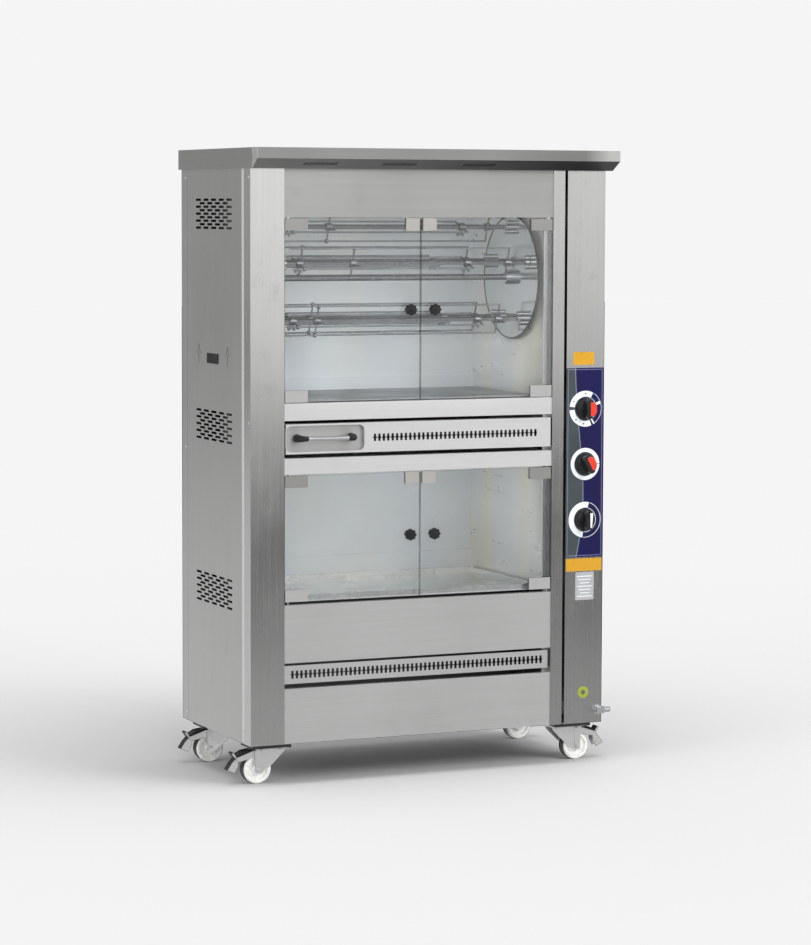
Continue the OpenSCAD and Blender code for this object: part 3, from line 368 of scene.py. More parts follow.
STEEL = (0.62, 0.62, 0.612)
mat = {
    "panel": brushed_steel("steel_side", shade(STEEL, 0.86), "z"),
    "column": brushed_steel("steel_column", shade(STEEL, 0.93), "z", 0.22, 0.8),
    "post": brushed_steel("steel_post", shade(STEEL, 0.79), "z", 0.22, 0.8),
    "header": brushed_steel("steel_header", shade(STEEL, 0.86), "x"),
    "front": brushed_steel("steel_front", shade(STEEL, 1.12), "x"),
    # partly painted highlight: the rougher, stretched grain is real, the much raised base colour stands in for
    # reflected light
    "rail": brushed_steel("steel_rail_painted_highlight", shade(STEEL, 1.44), "x", 0.44, 0.8, 0.8),
    "hood": brushed_steel("steel_hood", shade(STEEL, 0.70), "x"),
    # painted reflection: the fascia darkens from 0.1 to 0.4 m along X, then turns bright past 0.5 m
    "fascia": brushed_steel("steel_fascia", shade(STEEL, 0.62), "x",
                            painted_reflection_fades=((0.1, 0.4, 0.8), (0.46, 0.54, 1.7))),
    # painted reflection: the slope darkens along X, to near black at 0.45 m
    "slope": brushed_steel("steel_slope", shade(STEEL, 0.76), "x", painted_reflection_fades=((-0.35, 0.45, 0.12),)),
    # painted highlight: brighter steel for the hood's left front corner
    "corner": brushed_steel("steel_corner_highlight", shade(STEEL, 1.2), "z", 0.3, 0.5),
    "liner": polished_steel("steel_liner", (0.88, 0.89, 0.91), 0.34, 0.12, 0.75),
    # side walls carry strong painted reflection bands, the back wall a faint trace
    "liner_side": polished_steel("steel_liner_side", (0.90, 0.905, 0.89), 0.30, 0.02, 0.65, 0.7),
    "liner_back": polished_steel("steel_liner_back", (0.83, 0.865, 0.895), 0.55, 0.1, 0.5, 0.12),
    # near-black steel for the roasting chamber's floor, much darker than its walls
    "deck": polished_steel("steel_deck", (0.06, 0.064, 0.068), 0.34),
    "disc": polished_steel("steel_mirror", (0.82, 0.835, 0.84), 0.12, 0.08),
    "tray": polished_steel("steel_tray", (0.78, 0.78, 0.76), 0.24, 0.3),
    # painted shade: darker copy of the rail steel for the handle recess
    "recess": brushed_steel("steel_recess_painted_shade", shade(STEEL, 1.08), "x", 0.44, 0.8),
    # painted shade: near-black steel for inner faces that stand in shadow
    "inside": brushed_steel("steel_inside_painted_shade", shade(STEEL, 0.16), "z", 0.5, 0.3),
    # painted shade: black for the drawer tray, so the slots in front of it read dark
    "shaded_tray": painted_frame("tray_painted_shade"),
    "chrome": chrome("chrome_plate"),
    "nickel": brushed_steel("nickel_clip", (0.47, 0.465, 0.45), "x", 0.36, 0.4),
    # painted highlight: lower clips are a brighter copy of the same nickel
    "nickel_low": brushed_steel("nickel_low_clip_painted_highlight", (0.80, 0.795, 0.775), "x", 0.36, 0.4),
    "catch": brushed_steel("nickel_catch", (0.72, 0.675, 0.635), "x", 0.40, 0.3),
    "rod": cooked_rod("spit_rod"),
    "zinc": zinc("zinc_plate"),
    "gear": cast_metal("gear_steel", (0.20, 0.205, 0.21), 0.42),
    "housing": cast_metal("motor_housing", (0.30, 0.32, 0.35)),
    "burner": cast_metal("burner_iron", (0.14, 0.13, 0.125), 0.6),
    "frame": painted_frame("black_frame"),
    "brass": brass("gas_brass"),
    "rim": cast_metal("disc_rim", (0.045, 0.047, 0.05), 0.4),
    # painted shade: near-black for the castor wheels' tread band
    "tread": moulded_plastic("wheel_tread_painted_shade", (0.045, 0.045, 0.043), 0.55, 380.0),
    "glass": clear_glass("door_glass"),
    "overlay": overlay_film("overlay_film"),
    "black": moulded_plastic("black_plastic", (0.012, 0.012, 0.013)),
    "knob": moulded_plastic("knob_plastic", (0.010, 0.010, 0.012), 0.30, 700.0, 0.15),
    "nylon": nylon("wheel_nylon"),
    "red": moulded_plastic("pointer_red", (0.50, 0.030, 0.012), 0.35, 600.0, 0.2),
    "white": printed("print_white", (0.70, 0.73, 0.75)),
    "yellow": printed("label_yellow", (0.50, 0.25, 0.004), 0.5),
    "plate": printed("label_plate", (0.33, 0.33, 0.34), 0.38),
    "dot": printed("label_dot", (0.26, 0.30, 0.03), 0.45),
    "mark": printed("mark_grey", (0.09, 0.09, 0.085), 0.5),
}

NODE_LOOK = {
    "panel": ("left_side_panel", "right_side_panel", "back_panel"),
    "column": ("left_column",),
    "post": ("right_column", "control_column"),
    "header": ("header_panel",),
    "front": ("lower_panels",),
    "rail": ("front_rails", "drawer_front"),
    "liner": ("roast_chamber", "warming_chamber"),
    "disc": ("left_disc", "right_disc"),
    "tray": ("warming_tray",),
    "shaded_tray": ("drawer_tray",),
    "chrome": ("gas_inlet", "door_pivots", "drawer_handle"),
    "rod": ("carousel_shaft", "spit_1", "spit_2", "spit_3", "spit_4", "spit_5"),
    "zinc": ("castor_plates", "fasteners"),
    "gear": ("sun_gear",),
    "housing": ("gearmotor", "shaft_bearings"),
    "burner": ("roof_burners",),
    "frame": ("chassis_frame",),
    "brass": ("gas_train",),
    "overlay": ("control_overlay",),
    "black": ("rocker_bezel", "power_rocker"),
}


def dress(node, *looks):
    """Gives a CAD node its materials; the first is used until paint() says otherwise."""
    mesh = nodes[node].data
    mesh.materials.clear()
    for look in looks:
        mesh.materials.append(mat[look])


def paint(node, slot, test):
    """Uses material slot for the faces whose centre and normal pass the test."""
    for face in nodes[node].data.polygons:
        if test(face.center, face.normal):
            face.material_index = slot


for look, names in NODE_LOOK.items():
    for node_name in names:
        dress(node_name, look)

CORNERS = ("front_left", "front_right", "rear_left", "rear_right")
DOORS = ("upper_left", "upper_right", "lower_left", "lower_right")
for corner in CORNERS:
    dress(corner + "_fork", "zinc")
    dress(corner + "_wheel", "nylon", "tread")
    dress(corner + "_brake", "zinc")
for door in DOORS:
    dress(door + "_door_glass", "glass")
    dress(door + "_door_fittings", "nickel", "catch", "black", "nickel_low")


def paint_door(door):
    """The catch clip is beige, the lower hinge clip is a brighter copy of the upper one as a painted highlight, and the
    grip is black.
    """
    low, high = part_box(door + "_door_glass")
    middle = (low.z + high.z) / 2
    inner = high.x if "left" in door else low.x
    paint(door + "_door_fittings", 1, lambda c, n: abs(c.x - inner) < 60 * MM and c.z > high.z - 40 * MM)
    paint(door + "_door_fittings", 2, lambda c, n: abs(c.z - middle) < 30 * MM)
    paint(door + "_door_fittings", 3, lambda c, n: c.z < low.z + 60 * MM)


def paint_recess():
    """The pan behind the drawer handle is a darker copy of the face round it, as painted shade in the recess."""
    low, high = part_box("drawer_front")
    middle = (low.z + high.z) / 2
    dress("drawer_front", "rail", "recess")
    paint("drawer_front", 1, lambda c, n: c.x < low.x + 256 * MM and low.y + 2 * MM < c.y < low.y + 15 * MM
          and abs(c.z - middle) < 41 * MM)


def paint_spits():
    """The pinion at each spit's end is plain gear steel."""
    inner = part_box("sun_gear")[0].x
    for number in range(1, 6):
        dress(f"spit_{number}", "rod", "gear")
        paint(f"spit_{number}", 1, lambda c, n: c.x > inner - 0.2 * MM)


def paint_disc_sockets():
    """The sockets and the rim of a disc are chrome, and its flat faces are mirror steel."""
    for name in ("left_disc", "right_disc"):
        low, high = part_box(name)
        dress(name, "disc", "chrome")
        plate = high.x - 4 * MM if name == "right_disc" else low.x + 4 * MM
        if name == "right_disc":
            paint(name, 1, lambda c, n, p=plate: c.x < p)
        else:
            paint(name, 1, lambda c, n, p=plate: c.x > p)


def paint_chamber(name, floor=None):
    """Duller back wall, faintly warm side walls with upright cream bands of painted reflection and, in the roasting
    chamber, a near-black floor.
    """
    low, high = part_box(name)
    dress(name, "liner", "liner_back", "liner_side", "deck")
    paint(name, 1, lambda c, n: n.y < -0.9 and c.y > high.y - 60 * MM)
    paint(name, 2, lambda c, n: abs(n.x) > 0.9)
    if floor:
        paint(name, 3, lambda c, n: n.z > 0.9 and abs(c.z - floor) < 4 * MM)


def paint_hood():
    """Front fascia with painted reflection along it, a slope under it darkened by painted reflection, and painted shade
    on the inner faces behind the slots.
    """
    low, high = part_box("hood")
    skin = 3 * MM
    dress("hood", "hood", "fascia", "slope", "inside")
    paint("hood", 1, lambda c, n: n.y < -0.9 and c.y < low.y + skin)
    paint("hood", 2, lambda c, n: n.y < -0.2 and n.z < -0.2)
    # painted shade: inner faces behind the slots take the near-black slot
    paint("hood", 3, lambda c, n: (n.y > 0.2 and c.y < high.y - skin) or (n.z < -0.9 and c.z > high.z - skin)
          or (n.z > 0.9 and c.z < high.z - skin) or (n.y < -0.9 and c.y > high.y - skin))


def paint_outer_sheets():
    """The left panel's front fold takes the brighter rail steel as a painted highlight, and the inner sides of the
    outer sheets are rougher and darkened as painted shade.
    """
    inward = {"left_side_panel": Vector((1, 0, 0)), "right_side_panel": Vector((-1, 0, 0)),
              "back_panel": Vector((0, -1, 0))}
    for name, direction in inward.items():
        dress(name, "panel", "inside", "rail")
        for face in nodes[name].data.polygons:
            # painted shade on the inner sides
            if face.normal.dot(direction) > 0.9:
                face.material_index = 1
            # painted highlight on the front fold
            elif name == "left_side_panel" and face.normal.y < -0.3:
                face.material_index = 2


paint_chamber("roast_chamber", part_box("front_rails")[1].z + 5.5 * MM)
paint_chamber("warming_chamber")
paint_hood()
paint_outer_sheets()
for door in DOORS:
    paint_door(door)
paint_recess()
paint_spits()
paint_disc_sockets()


# ---------------------------------------------------------------- mesh helpers

def finish_piece(name, mesh, body, look, bevel=0.0, segments=2, smooth=True):
    """Links a mesh as a piece of the object, rounds its edges and lets it ride on a body."""
    piece = bpy.data.objects.new(name, mesh)
    bpy.context.scene.collection.objects.link(piece)
    mesh.materials.append(mat[look])
    for face in mesh.polygons:
        face.use_smooth = smooth
    if bevel:
        rounding = piece.modifiers.new("rounding", "BEVEL")
        rounding.width = bevel
        rounding.segments = segments
        rounding.limit_method = "ANGLE"
        rounding.angle_limit = math.radians(35)
        rounding.harden_normals = smooth
    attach(piece, body)
    return piece


def prism(name, outline, low, high, body, look, place=Matrix.Identity(4), bevel=0.0):
    """Solid of a flat outline, raised from low to high along its own Z, then placed."""
    build = bmesh.new()
    bottom = [build.verts.new((x, y, low)) for x, y in outline]
    top = [build.verts.new((x, y, high)) for x, y in outline]
    build.faces.new(list(reversed(bottom)))
    build.faces.new(top)
    for i in range(len(outline)):
        j = (i + 1) % len(outline)
        build.faces.new((bottom[i], bottom[j], top[j], top[i]))
    bmesh.ops.recalc_face_normals(build, faces=build.faces)
    build.transform(place)
    mesh = bpy.data.meshes.new(name)
    build.to_mesh(mesh)
    build.free()
    return finish_piece(name, mesh, body, look, bevel, smooth=False)


def turned(name, profile, body, look, place, steps=64, bevel=0.0):
    """Solid of revolution about its own Z: profile holds (radius, height) from axis to axis."""
    build = bmesh.new()
    rings = []
    for radius, height in profile:
        if radius < 1e-9:
            rings.append([build.verts.new((0.0, 0.0, height))])
            continue
        angles = [2 * math.pi * i / steps for i in range(steps)]
        rings.append([build.verts.new((radius * math.cos(a), radius * math.sin(a), height)) for a in angles])
    for first, second in zip(rings, rings[1:]):
        for i in range(steps):
            j = (i + 1) % steps
            corners = [first[i % len(first)], first[j % len(first)], second[j % len(second)],
                       second[i % len(second)]]
            build.faces.new(list(dict.fromkeys(corners)))
    bmesh.ops.recalc_face_normals(build, faces=build.faces)
    build.transform(place)
    mesh = bpy.data.meshes.new(name)
    build.to_mesh(mesh)
    build.free()
    return finish_piece(name, mesh, body, look, bevel)


def swept_tube(name, path, radii, body, look, steps=24):
    """Round tube along a level path of points, with its own radius at each point."""
    build = bmesh.new()
    rings = []
    for i, (point, radius) in enumerate(zip(path, radii)):
        along = (path[min(i + 1, len(path) - 1)] - path[max(i - 1, 0)]).normalized()
        side = along.cross(Vector((0, 0, 1)))
        angles = [2 * math.pi * k / steps for k in range(steps)]
        rings.append([build.verts.new(point + radius * (math.cos(a) * side + math.sin(a) * Vector((0, 0, 1))))
                      for a in angles])
    for first, second in zip(rings, rings[1:]):
        for k in range(steps):
            j = (k + 1) % steps
            build.faces.new((first[k], first[j], second[j], second[k]))
    build.faces.new(rings[0])
    build.faces.new(rings[-1])
    bmesh.ops.recalc_face_normals(build, faces=build.faces)
    mesh = bpy.data.meshes.new(name)
    build.to_mesh(mesh)
    build.free()
    return finish_piece(name, mesh, body, look)


def facing_front(point):
    """Places a shape so that its X stays X, its Y points up and its Z points to the front."""
    return Matrix.Translation(point) @ Matrix.Rotation(math.radians(90), 4, "X")


def facing_left(point):
    """Places a shape so that its X points to the front, its Y up and its Z to the left."""
    return Matrix.Translation(point) @ Matrix(((0, 0, -1, 0), (-1, 0, 0, 0), (0, 1, 0, 0), (0, 0, 0, 1)))


def arc(radius, start, end, steps):
    """Points on an arc, with angles in degrees counted from +X towards +Y."""
    return [(radius * math.cos(math.radians(start + (end - start) * i / steps)),
             radius * math.sin(math.radians(start + (end - start) * i / steps))) for i in range(steps + 1)]


def ring_part(inner, outer, start, end):
    """Outline of a flat ring between two angles."""
    steps = max(4, int(abs(end - start) / 5))
    return arc(outer, start, end, steps) + list(reversed(arc(inner, start, end, steps)))


def rounded_box_outline(width, height, radius, steps=5):
    """Outline of a rectangle with round corners."""
    points = []
    for corner_x, corner_y, start in ((1, 1, 0), (-1, 1, 90), (-1, -1, 180), (1, -1, 270)):
        centre = (corner_x * (width / 2 - radius), corner_y * (height / 2 - radius))
        points += [(centre[0] + x, centre[1] + y) for x, y in arc(radius, start, start + 90, steps)]
    return points


# ---------------------------------------------------------------- controls

FILM = 0.3 * MM


def joint_point(name):
    """Where a joint turns, from the frame."""
    return Vector(joints[name]["pos_m"])


def dial_print():
    """White rings round the knobs: each is thin ink standing just proud of the film."""
    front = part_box("control_overlay")[0].y
    upper, middle, lower = (joint_point(n) for n in ("upper_knob_turn", "middle_knob_turn", "lower_knob_turn"))

    def ink(name, centre, outline, look="white"):
        spot = Vector((centre.x, front, centre.z))
        prism(name, outline, 0.0, FILM, "cabinet", look, facing_front(spot))

    wide = (36 * MM, 53.5 * MM)
    for number, (start, end) in enumerate(((62, 172), (184, 292), (300, 306), (16, 26))):
        ink(f"upper_dial_white_{number + 1}", upper, ring_part(*wide, start, end))
    for number, (start, end) in enumerate(((28, 60), (-52, 14))):
        ink(f"upper_dial_line_{number + 1}", upper, ring_part(wide[1] - 1.2 * MM, wide[1], start, end))
        ink(f"upper_dial_inner_{number + 1}", upper, ring_part(wide[0], wide[0] + 1.2 * MM, start, end))
    ink("middle_dial_ring", middle, ring_part(36 * MM, 48 * MM, 1, 359))
    ink("lower_dial_half", lower, ring_part(*wide, 75, 262))
    ink("lower_dial_line", lower, ring_part(wide[1] - 1.5 * MM, wide[1], -95, 72))
    ink("lower_dial_inner", lower, ring_part(wide[0], wide[0] + 1.5 * MM, -95, 72))
    for number, angle in enumerate((180, 150, 90, 225, 262)):
        small = ring_part(43 * MM, 47 * MM, angle - 3, angle + 3)
        spot = Vector((upper.x, front - FILM, upper.z))
        prism(f"upper_dial_tick_{number + 1}", small, 0.0, FILM / 2, "cabinet", "overlay", facing_front(spot))


def control_knob(node, joint, turn, pointer_look, pointer):
    """Round knob with a domed skirt, a gripping bar with rounded ends and an inlaid pointer."""
    body = {n: b for b, members in frame["record"]["behaviour"]["bodies"].items() for n in members}[node]
    low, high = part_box(node)
    centre = joint_point(joint)
    radius = (high.z - low.z) / 2
    base = Vector((centre.x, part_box("control_overlay")[0].y - 0.6 * MM, centre.z))
    place = facing_front(base) @ Matrix.Rotation(math.radians(-turn), 4, "Z")
    skirt = [(0, 0), (radius - 1.2 * MM, 0), (radius - 0.3 * MM, 1 * MM), (radius - 0.6 * MM, 6 * MM),
             (radius - 2.4 * MM, 9.5 * MM), (radius - 6 * MM, 11 * MM), (0, 11.6 * MM)]
    knob = turned(node + "_skirt", skirt, body, "knob", place)
    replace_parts(knob, node)
    half = radius - 4.5 * MM
    width = 11.5 * MM
    bar = []
    for side in (1, -1):
        bar += [(side * width, -side * (half - 9 * MM)), (side * width, side * (half - 9 * MM))]
        bar += [(side * 7 * MM, side * (half - 1.5 * MM)), (0, side * half),
                (-side * 7 * MM, side * (half - 1.5 * MM))]
    top = centre.y - low.y - 1.6 * MM + (base.y - centre.y)
    prism(node + "_grip", bar, 9 * MM, top, body, "knob", place, 1.6 * MM)
    prism(node + "_pointer", pointer, 10 * MM, top + 0.7 * MM, body, pointer_look, place, 1.0 * MM)


def round_pointer():
    """Half-round pointer along one side of the grip bar."""
    return [(1 * MM, -21 * MM), (9 * MM, -21 * MM)] + [(9 * MM + x * 0.62, y) for x, y in
            arc(21 * MM, -75, 75, 10)] + [(9 * MM, 21 * MM), (1 * MM, 21 * MM)]


def slim_pointer():
    """The thin pointer of the lower knob."""
    return [(3 * MM, -22 * MM), (8 * MM, -22 * MM), (12 * MM, 22 * MM), (2 * MM, 22 * MM)]


dial_print()
control_knob("upper_gas_knob", "upper_knob_turn", 0, "red", round_pointer())
control_knob("middle_gas_knob", "middle_knob_turn", -28, "red", round_pointer())
control_knob("lower_control_knob", "lower_knob_turn", 0, "white", slim_pointer())


# ---------------------------------------------------------------- labels and marks

def blank_label(name, look, centre_x, centre_z, width, height, front):
    """A printed label with nothing on it."""
    spot = Vector((centre_x, front, centre_z))
    outline = rounded_box_outline(width, height, 3 * MM)
    prism(name, outline, 0.0, FILM, "cabinet", look, facing_front(spot))


def column_labels():
    """Blank stickers on the control column: two yellow, a metal plate and a round dot."""
    low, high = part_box("control_overlay")
    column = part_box("control_column")[0].y
    middle = (low.x + high.x) / 2
    blank_label("yellow_label_upper", "yellow", middle - 5 * MM, high.z + 28 * MM, 70 * MM, 38 * MM, column)
    blank_label("yellow_label_lower", "yellow", middle, low.z - 23 * MM, 119 * MM, 38 * MM, column)
    blank_label("rating_plate", "plate", middle + 3 * MM, low.z - 87 * MM, 62 * MM, 84 * MM, column)
    for row in range(7):
        z = low.z - 58 * MM - row * 10 * MM
        spot = Vector((middle + 3 * MM, column - FILM, z))
        line = rounded_box_outline((50 - 9 * (row % 3)) * MM, 2.4 * MM, 1 * MM)
        prism(f"rating_plate_rule_{row + 1}", line, 0.0, FILM / 2, "cabinet", "white", facing_front(spot))
    dot = Vector((middle + 1 * MM, column, 0.122 + 0.093))
    prism("round_label", arc(18 * MM, 0, 350, 35), 0.0, FILM, "cabinet", "dot", facing_front(dot))
    prism("round_label_core", arc(7 * MM, 0, 345, 23), FILM, 1.6 * FILM, "cabinet", "mark", facing_front(dot))


def switch_arrows():
    """Outlined arrows on the side panel, in front of and behind the rocker switch."""
    low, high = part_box("rocker_bezel")
    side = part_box("left_side_panel")[0].x
    for name, y in (("switch_arrow_front", high.y + 72 * MM), ("switch_arrow_rear", low.y - 76 * MM)):
        foot = Vector((side, y, low.z - 3 * MM))
        shaft = [(-1.5 * MM, 0), (1.5 * MM, 0), (1.5 * MM, 30 * MM), (-1.5 * MM, 30 * MM)]
        prism(name + "_shaft", shaft, 0.0, FILM, "cabinet", "mark", facing_left(foot))
        for side_name, s in (("a", 1), ("b", -1)):
            wing = [(s * 10 * MM, 28 * MM), (s * 13.5 * MM, 28 * MM),
                    (s * 1.6 * MM, 57 * MM), (-s * 1.6 * MM, 57 * MM)]
            prism(f"{name}_{side_name}", wing, 0.0, FILM, "cabinet", "mark", facing_left(foot))


column_labels()
switch_arrows()


# ---------------------------------------------------------------- door grips and clip screws

def star_outline(tip, valley, lobes, steps=6):
    """Rounded star: the radius swings smoothly between valley and tip."""
    count = lobes * steps * 2
    points = []
    for i in range(count):
        angle = 2 * math.pi * i / count
        swing = 0.5 + 0.5 * math.cos(lobes * angle)
        radius = valley + (tip - valley) * swing ** 0.7
        points.append((radius * math.cos(angle), radius * math.sin(angle)))
    return points


def door_details(door):
    """Star grip over the CAD grip, with a domed cap."""
    body = door + "_door"
    low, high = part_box(door + "_door_fittings")
    glass_low, glass_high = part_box(door + "_door_glass")
    left = "left" in door
    inner = glass_high.x if left else glass_low.x
    inward = -1 if left else 1
    grip = Vector((inner + inward * 37 * MM, low.y, (glass_low.z + glass_high.z) / 2))
    prism(door + "_star_grip", star_outline(17 * MM, 13 * MM, 8), -16.5 * MM, 0.4 * MM, body, "black",
          facing_front(grip), 2.2 * MM)
    turned(door + "_grip_cap", [(0, 0.2 * MM), (7.5 * MM, 0.2 * MM), (7.0 * MM, 1.1 * MM), (4 * MM, 1.6 * MM),
                                (0, 1.8 * MM)], body, "black", facing_front(grip), 32)


for door in DOORS:
    door_details(door)


def handle_pieces():
    """Drawer handle: a waisted chrome bar, bowed to the front, between two flared black elbows."""
    low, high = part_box("drawer_handle")
    middle = (low.x + high.x) / 2
    z = (low.z + high.z) / 2
    half, end_y, elbow = 64 * MM, low.y + 11 * MM, 14 * MM
    path, radii = [], []
    for i in range(33):
        t = i / 16 - 1
        path.append(Vector((middle + t * half, end_y - 5 * MM * (1 - t * t), z)))
        radii.append((4.7 + 2.2 * abs(t) ** 1.6) * MM)
    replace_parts(swept_tube("handle_bar", path, radii, "drawer", "chrome"), "drawer_handle")
    for side, name in ((-1, "left"), (1, "right")):
        bend = Vector((middle + side * (half + 6 * MM), end_y + elbow, z))
        path = [Vector((middle + side * (half - 1 * MM), end_y, z))]
        for i in range(9):
            turn = math.radians(90 * i / 8)
            path.append(bend + Vector((side * elbow * math.sin(turn), -elbow * math.cos(turn), 0)))
        foot = path[-1].copy()
        path += [Vector((foot.x, high.y - back, z)) for back in (9 * MM, 5 * MM, 1.5 * MM, 0.0)]
        radii = [(7.1 + 4.9 * i / (len(path) - 1)) * MM for i in range(len(path))]
        swept_tube(f"handle_end_{name}", path, radii, "drawer", "black")


handle_pieces()


# ---------------------------------------------------------------- castor details

def castor_details(corner):
    """Black tread on the brake lever, a black skin on its paddle, painted shade on the wheel's tread band, and nuts on
    the axle.
    """
    body = corner + "_castor_brake"
    out = -1 if "left" in corner else 1
    middle = joint_point(corner + "_swivel")
    place = Matrix(((-out, 0, 0, middle.x), (0, 0, 1, middle.y), (0, 1, 0, 0), (0, 0, 0, 1)))
    tread = [(-40, 96.9), (-50, 98.2), (-102, 80.9), (-105, 83.5), (-80, 96.5), (-58, 99.7), (-40, 99.4)]
    prism(corner + "_brake_tread", [(x * MM, z * MM) for x, z in tread], -17 * MM, 17 * MM, body, "black", place,
          1.0 * MM)
    for number in range(5):
        x = -62 - 7.5 * number
        z = 98.6 + (x + 62) * 0.40
        rib = [(x * MM, z * MM), ((x + 3) * MM, (z + 1.2) * MM), ((x + 2.4) * MM, (z + 2.6) * MM),
               ((x - 0.4) * MM, (z + 1.6) * MM)]
        if z + 2.6 < 99.8:
            prism(f"{corner}_tread_rib_{number + 1}", rib, -14 * MM, 14 * MM, body, "black", place, 0.5 * MM)
    dress(corner + "_brake", "zinc", "black")
    for face in nodes[corner + "_brake"].data.polygons:
        reach = (face.center.x - middle.x) * out
        if reach > 97 * MM and abs(face.normal.y) < 0.5 and abs(face.center.y - middle.y) < 14.5 * MM:
            face.material_index = 1
    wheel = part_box(corner + "_wheel")
    # painted shade: the tread band round each wheel takes the near-black second slot
    paint(corner + "_wheel", 1, lambda c, n: abs(n.y) < 0.2 and math.hypot(
        c.x - (wheel[0].x + wheel[1].x) / 2, c.z - (wheel[0].z + wheel[1].z) / 2) > 0.92 * (wheel[1].z - wheel[0].z) / 2)
    hub = Vector(((wheel[0].x + wheel[1].x) / 2, 0, (wheel[0].z + wheel[1].z) / 2))
    for name, y, turn in (("near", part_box(corner + "_fork")[0].y, 90), ("far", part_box(corner + "_fork")[1].y, -90)):
        spot = Matrix.Translation((hub.x, y, hub.z)) @ Matrix.Rotation(math.radians(turn), 4, "X")
        nut = [(7.8 * MM * math.cos(math.radians(60 * i)), 7.8 * MM * math.sin(math.radians(60 * i)))
               for i in range(6)]
        prism(f"{corner}_axle_nut_{name}", nut, -3.5 * MM, 0.6 * MM, corner + "_castor", "zinc", spot, 0.6 * MM)
        turned(f"{corner}_axle_end_{name}", [(0, 0), (4 * MM, 0), (4 * MM, 1.6 * MM), (3.2 * MM, 2.4 * MM),
                                            (0, 2.4 * MM)], corner + "_castor", "zinc", spot, 24)


def hood_corner():
    """Front end of the hood's left side, where the fascia and the slope fold round: a thin plate of brighter steel laid
    on as a painted highlight.
    """
    low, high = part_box("hood")
    wide = 46 * MM
    outline = [(0, 0), (0, -31 * MM), (-37 * MM, -57 * MM), (-wide, -57 * MM),
               (-wide + 9 * MM, -31 * MM), (-wide, 0)]
    spot = Vector((low.x, low.y, high.z))
    prism("hood_corner_left", outline, 0.0, 0.5 * MM, "cabinet", "corner", facing_left(spot))


def disc_rims():
    """Dark rolled edge round each carousel disc."""
    centre = joint_point("carousel_spin")
    for name in ("left_disc", "right_disc"):
        low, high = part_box(name)
        radius = (high.z - low.z) / 2
        plate = (high.x - 3 * MM, high.x) if name == "right_disc" else (low.x, low.x + 3 * MM)
        place = Matrix.Translation((0, centre.y, centre.z)) @ Matrix.Rotation(math.radians(90), 4, "Y")
        rim = [(radius - 6 * MM, plate[0] - 0.4 * MM), (radius + 0.3 * MM, plate[0] - 0.4 * MM),
               (radius + 0.3 * MM, plate[1] + 0.4 * MM), (radius - 6 * MM, plate[1] + 0.4 * MM),
               (radius - 6 * MM, plate[0] - 0.4 * MM)]
        turned(name + "_rim", rim, "carousel", "rim", place, 128)


hood_corner()
disc_rims()
for corner in CORNERS:
    castor_details(corner)


# ---------------------------------------------------------------- stage, lights and camera

PAPER = (0.913, 0.913, 0.913)
FLOOR_AHEAD = ((0.0, 0.50), (2.0, 0.46), (5.0, 0.16), (9.6, 0.19), (13.0, 0.42), (18.0, 1.00))
FLOOR_BEHIND = ((0.0, 0.80), (10.0, 0.60), (18.0, 0.32))


def tone_ramp(s, distance, stops):
    """Grey level along a distance in metres, through the given (distance, level) stops."""
    far = stops[-1][0]
    ramp = s.add("ShaderNodeValToRGB")
    s.feed(ramp.inputs[0], s.math("DIVIDE", distance, far))
    elements = ramp.color_ramp.elements
    elements[0].position, elements[0].color = 0.0, (*[stops[0][1]] * 3, 1)
    elements[1].position, elements[1].color = 1.0, (*[stops[-1][1]] * 3, 1)
    for where, level in stops[1:-1]:
        elements.new(where / far).color = (*[level] * 3, 1)
    return ramp.outputs[0]


def stage_floor():
    """Pale floor without an edge; the metal sees broad grey zones on it, as in a studio."""
    s = Shader("stage_paper")
    rays = s.add("ShaderNodeLightPath").outputs
    y = s.axis("Y")
    ahead = tone_ramp(s, s.math("MULTIPLY", y, -1.0), FLOOR_AHEAD)
    behind = tone_ramp(s, y, FLOOR_BEHIND)
    zones = s.add("ShaderNodeEmission")
    s.feed(zones.inputs["Color"], s.mix(s.scale(y, -0.3, 0.3), ahead, behind))
    paper = s.add("ShaderNodeBsdfDiffuse")
    s.feed(paper.inputs["Color"], (0.85, 0.85, 0.85))
    choose = s.add("ShaderNodeMixShader")
    s.feed(choose.inputs[0], rays["Is Glossy Ray"])
    s.feed(choose.inputs[1], paper.outputs[0])
    s.feed(choose.inputs[2], zones.outputs[0])
    s.feed(s.output.inputs["Surface"], choose.outputs[0])
    mesh = bpy.data.meshes.new("stage_floor")
    size = 40.0
    mesh.from_pydata([(-size, -size, 0), (size, -size, 0), (size, size, 0), (-size, size, 0)],
                     [], [(0, 1, 2, 3)])
    mesh.materials.append(s.material)
    floor = bpy.data.objects.new("stage_floor", mesh)
    bpy.context.scene.collection.objects.link(floor)
    floor.is_shadow_catcher = True


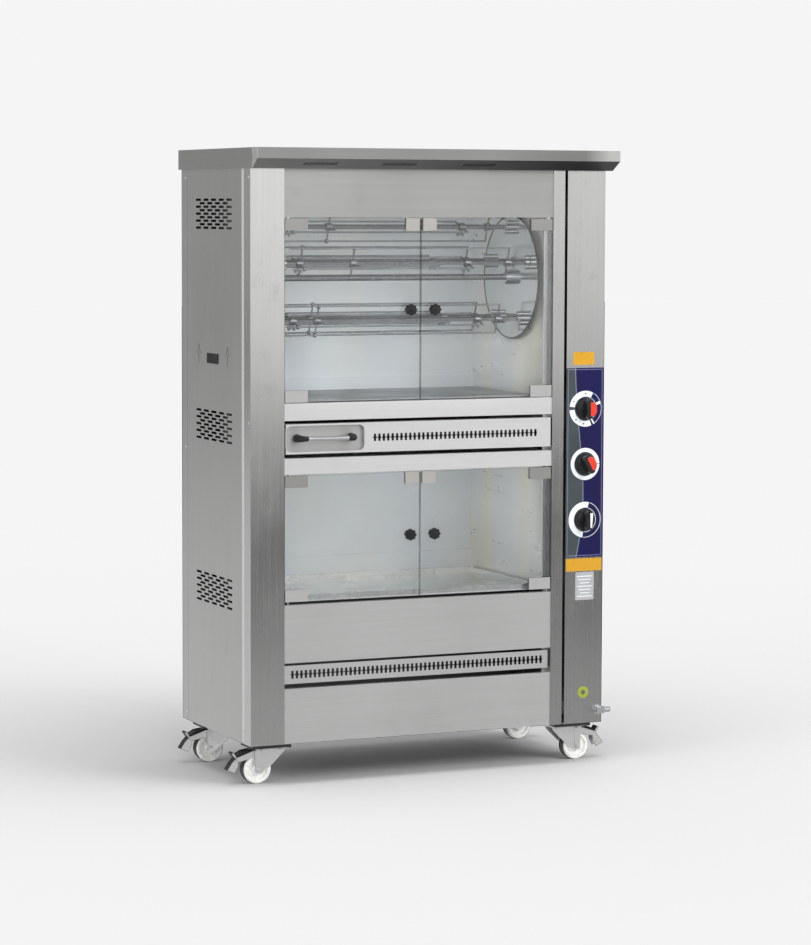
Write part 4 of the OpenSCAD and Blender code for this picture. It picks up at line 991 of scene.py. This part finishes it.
def world_light():
    """Even pale backdrop for the camera; the metal sees a brighter front and a dimmer back."""
    world = bpy.data.worlds.new("studio")
    bpy.context.scene.world = world
    world.use_nodes = True
    tree = world.node_tree
    tree.nodes.clear()

    def feed(socket, value):
        if isinstance(value, bpy.types.NodeSocket):
            tree.links.new(value, socket)
        else:
            socket.default_value = value

    def ramp(value, low, high, new_low, new_high):
        node = tree.nodes.new("ShaderNodeMapRange")
        for socket, number in zip(node.inputs, (value, low, high, new_low, new_high)):
            feed(socket, number)
        return node.outputs[0]

    def blend(kind, factor, a, b):
        node = tree.nodes.new("ShaderNodeMix")
        node.data_type = "RGBA"
        node.blend_type = kind
        feed(node.inputs[0], factor)
        feed(node.inputs[6], a)
        feed(node.inputs[7], b)
        return node.outputs[2]

    output = tree.nodes.new("ShaderNodeOutputWorld")
    background = tree.nodes.new("ShaderNodeBackground")
    rays = tree.nodes.new("ShaderNodeLightPath").outputs
    split = tree.nodes.new("ShaderNodeSeparateXYZ")
    tree.links.new(tree.nodes.new("ShaderNodeTexCoord").outputs["Generated"], split.inputs[0])
    around = ramp(split.outputs["Y"], -0.9, 0.9, 0.0, 1.0)
    level = blend("MIX", around, (1.25, 1.25, 1.24, 1), (0.44, 0.445, 0.435, 1))
    upward = ramp(split.outputs["Z"], 0.1, 0.9, 0.0, 1.0)
    level = blend("MIX", upward, level, (0.55, 0.56, 0.57, 1))
    seen = blend("MIX", rays["Is Glossy Ray"], (0.80, 0.80, 0.80, 1), level)
    feed(background.inputs["Color"], blend("MIX", rays["Is Camera Ray"], seen, (*PAPER, 1)))
    tree.links.new(background.outputs[0], output.inputs["Surface"])


def soft_box(name, location, target, width, height, power):
    """A rectangular lamp that mirrors do not see."""
    light = bpy.data.lights.new(name, "AREA")
    light.shape = "RECTANGLE"
    light.size = width
    light.size_y = height
    light.energy = power
    lamp = bpy.data.objects.new(name, light)
    bpy.context.scene.collection.objects.link(lamp)
    lamp.location = location
    lamp.visible_glossy = False
    lamp.rotation_euler = (Vector(target) - Vector(location)).to_track_quat("-Z", "Y").to_euler()


def chamber_lamp(chamber, power):
    """Broad soft lamp behind a chamber's doors, turned to its back wall."""
    low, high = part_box(chamber)
    middle = (low.x + high.x) / 2
    height = high.z - low.z
    front = Vector((middle, low.y + 12 * MM, low.z + 0.62 * height))
    soft_box(chamber + "_lamp", front, (middle, high.y, low.z + 0.5 * height), 0.7, 0.7 * height, power)


def studio_camera():
    """Long lens, turned a little to the left side and looking slightly down."""
    camera = bpy.data.cameras.new("studio_camera")
    camera.lens = 118.63
    camera.sensor_width = 36.0
    camera.sensor_fit = "AUTO"
    camera.clip_end = 200.0
    holder = bpy.data.objects.new("studio_camera", camera)
    bpy.context.scene.collection.objects.link(holder)
    turn = Matrix.Rotation(math.radians(-24.2152), 4, "Z")
    tilt = Matrix.Rotation(math.radians(90 - 4.889), 4, "X")
    roll = Matrix.Rotation(math.radians(0.185), 4, "Z")
    holder.matrix_world = Matrix.Translation((-3.7802, -8.4669, 1.6663)) @ turn @ tilt @ roll
    bpy.context.scene.camera = holder


stage_floor()
world_light()
soft_box("key_front_right", (3.2, -4.6, 3.4), (0, 0, 1.2), 3.0, 2.2, 210)
soft_box("fill_left", (-4.8, -1.6, 2.6), (0, 0, 0.9), 2.6, 2.6, 70)
soft_box("top", (0.2, -0.8, 4.6), (0, 0, 0.8), 3.5, 2.5, 130)
for chamber, power in (("roast_chamber", 3.0), ("warming_chamber", 1.1)):
    chamber_lamp(chamber, power)
studio_camera()
bpy.context.scene.view_settings.view_transform = "Standard"
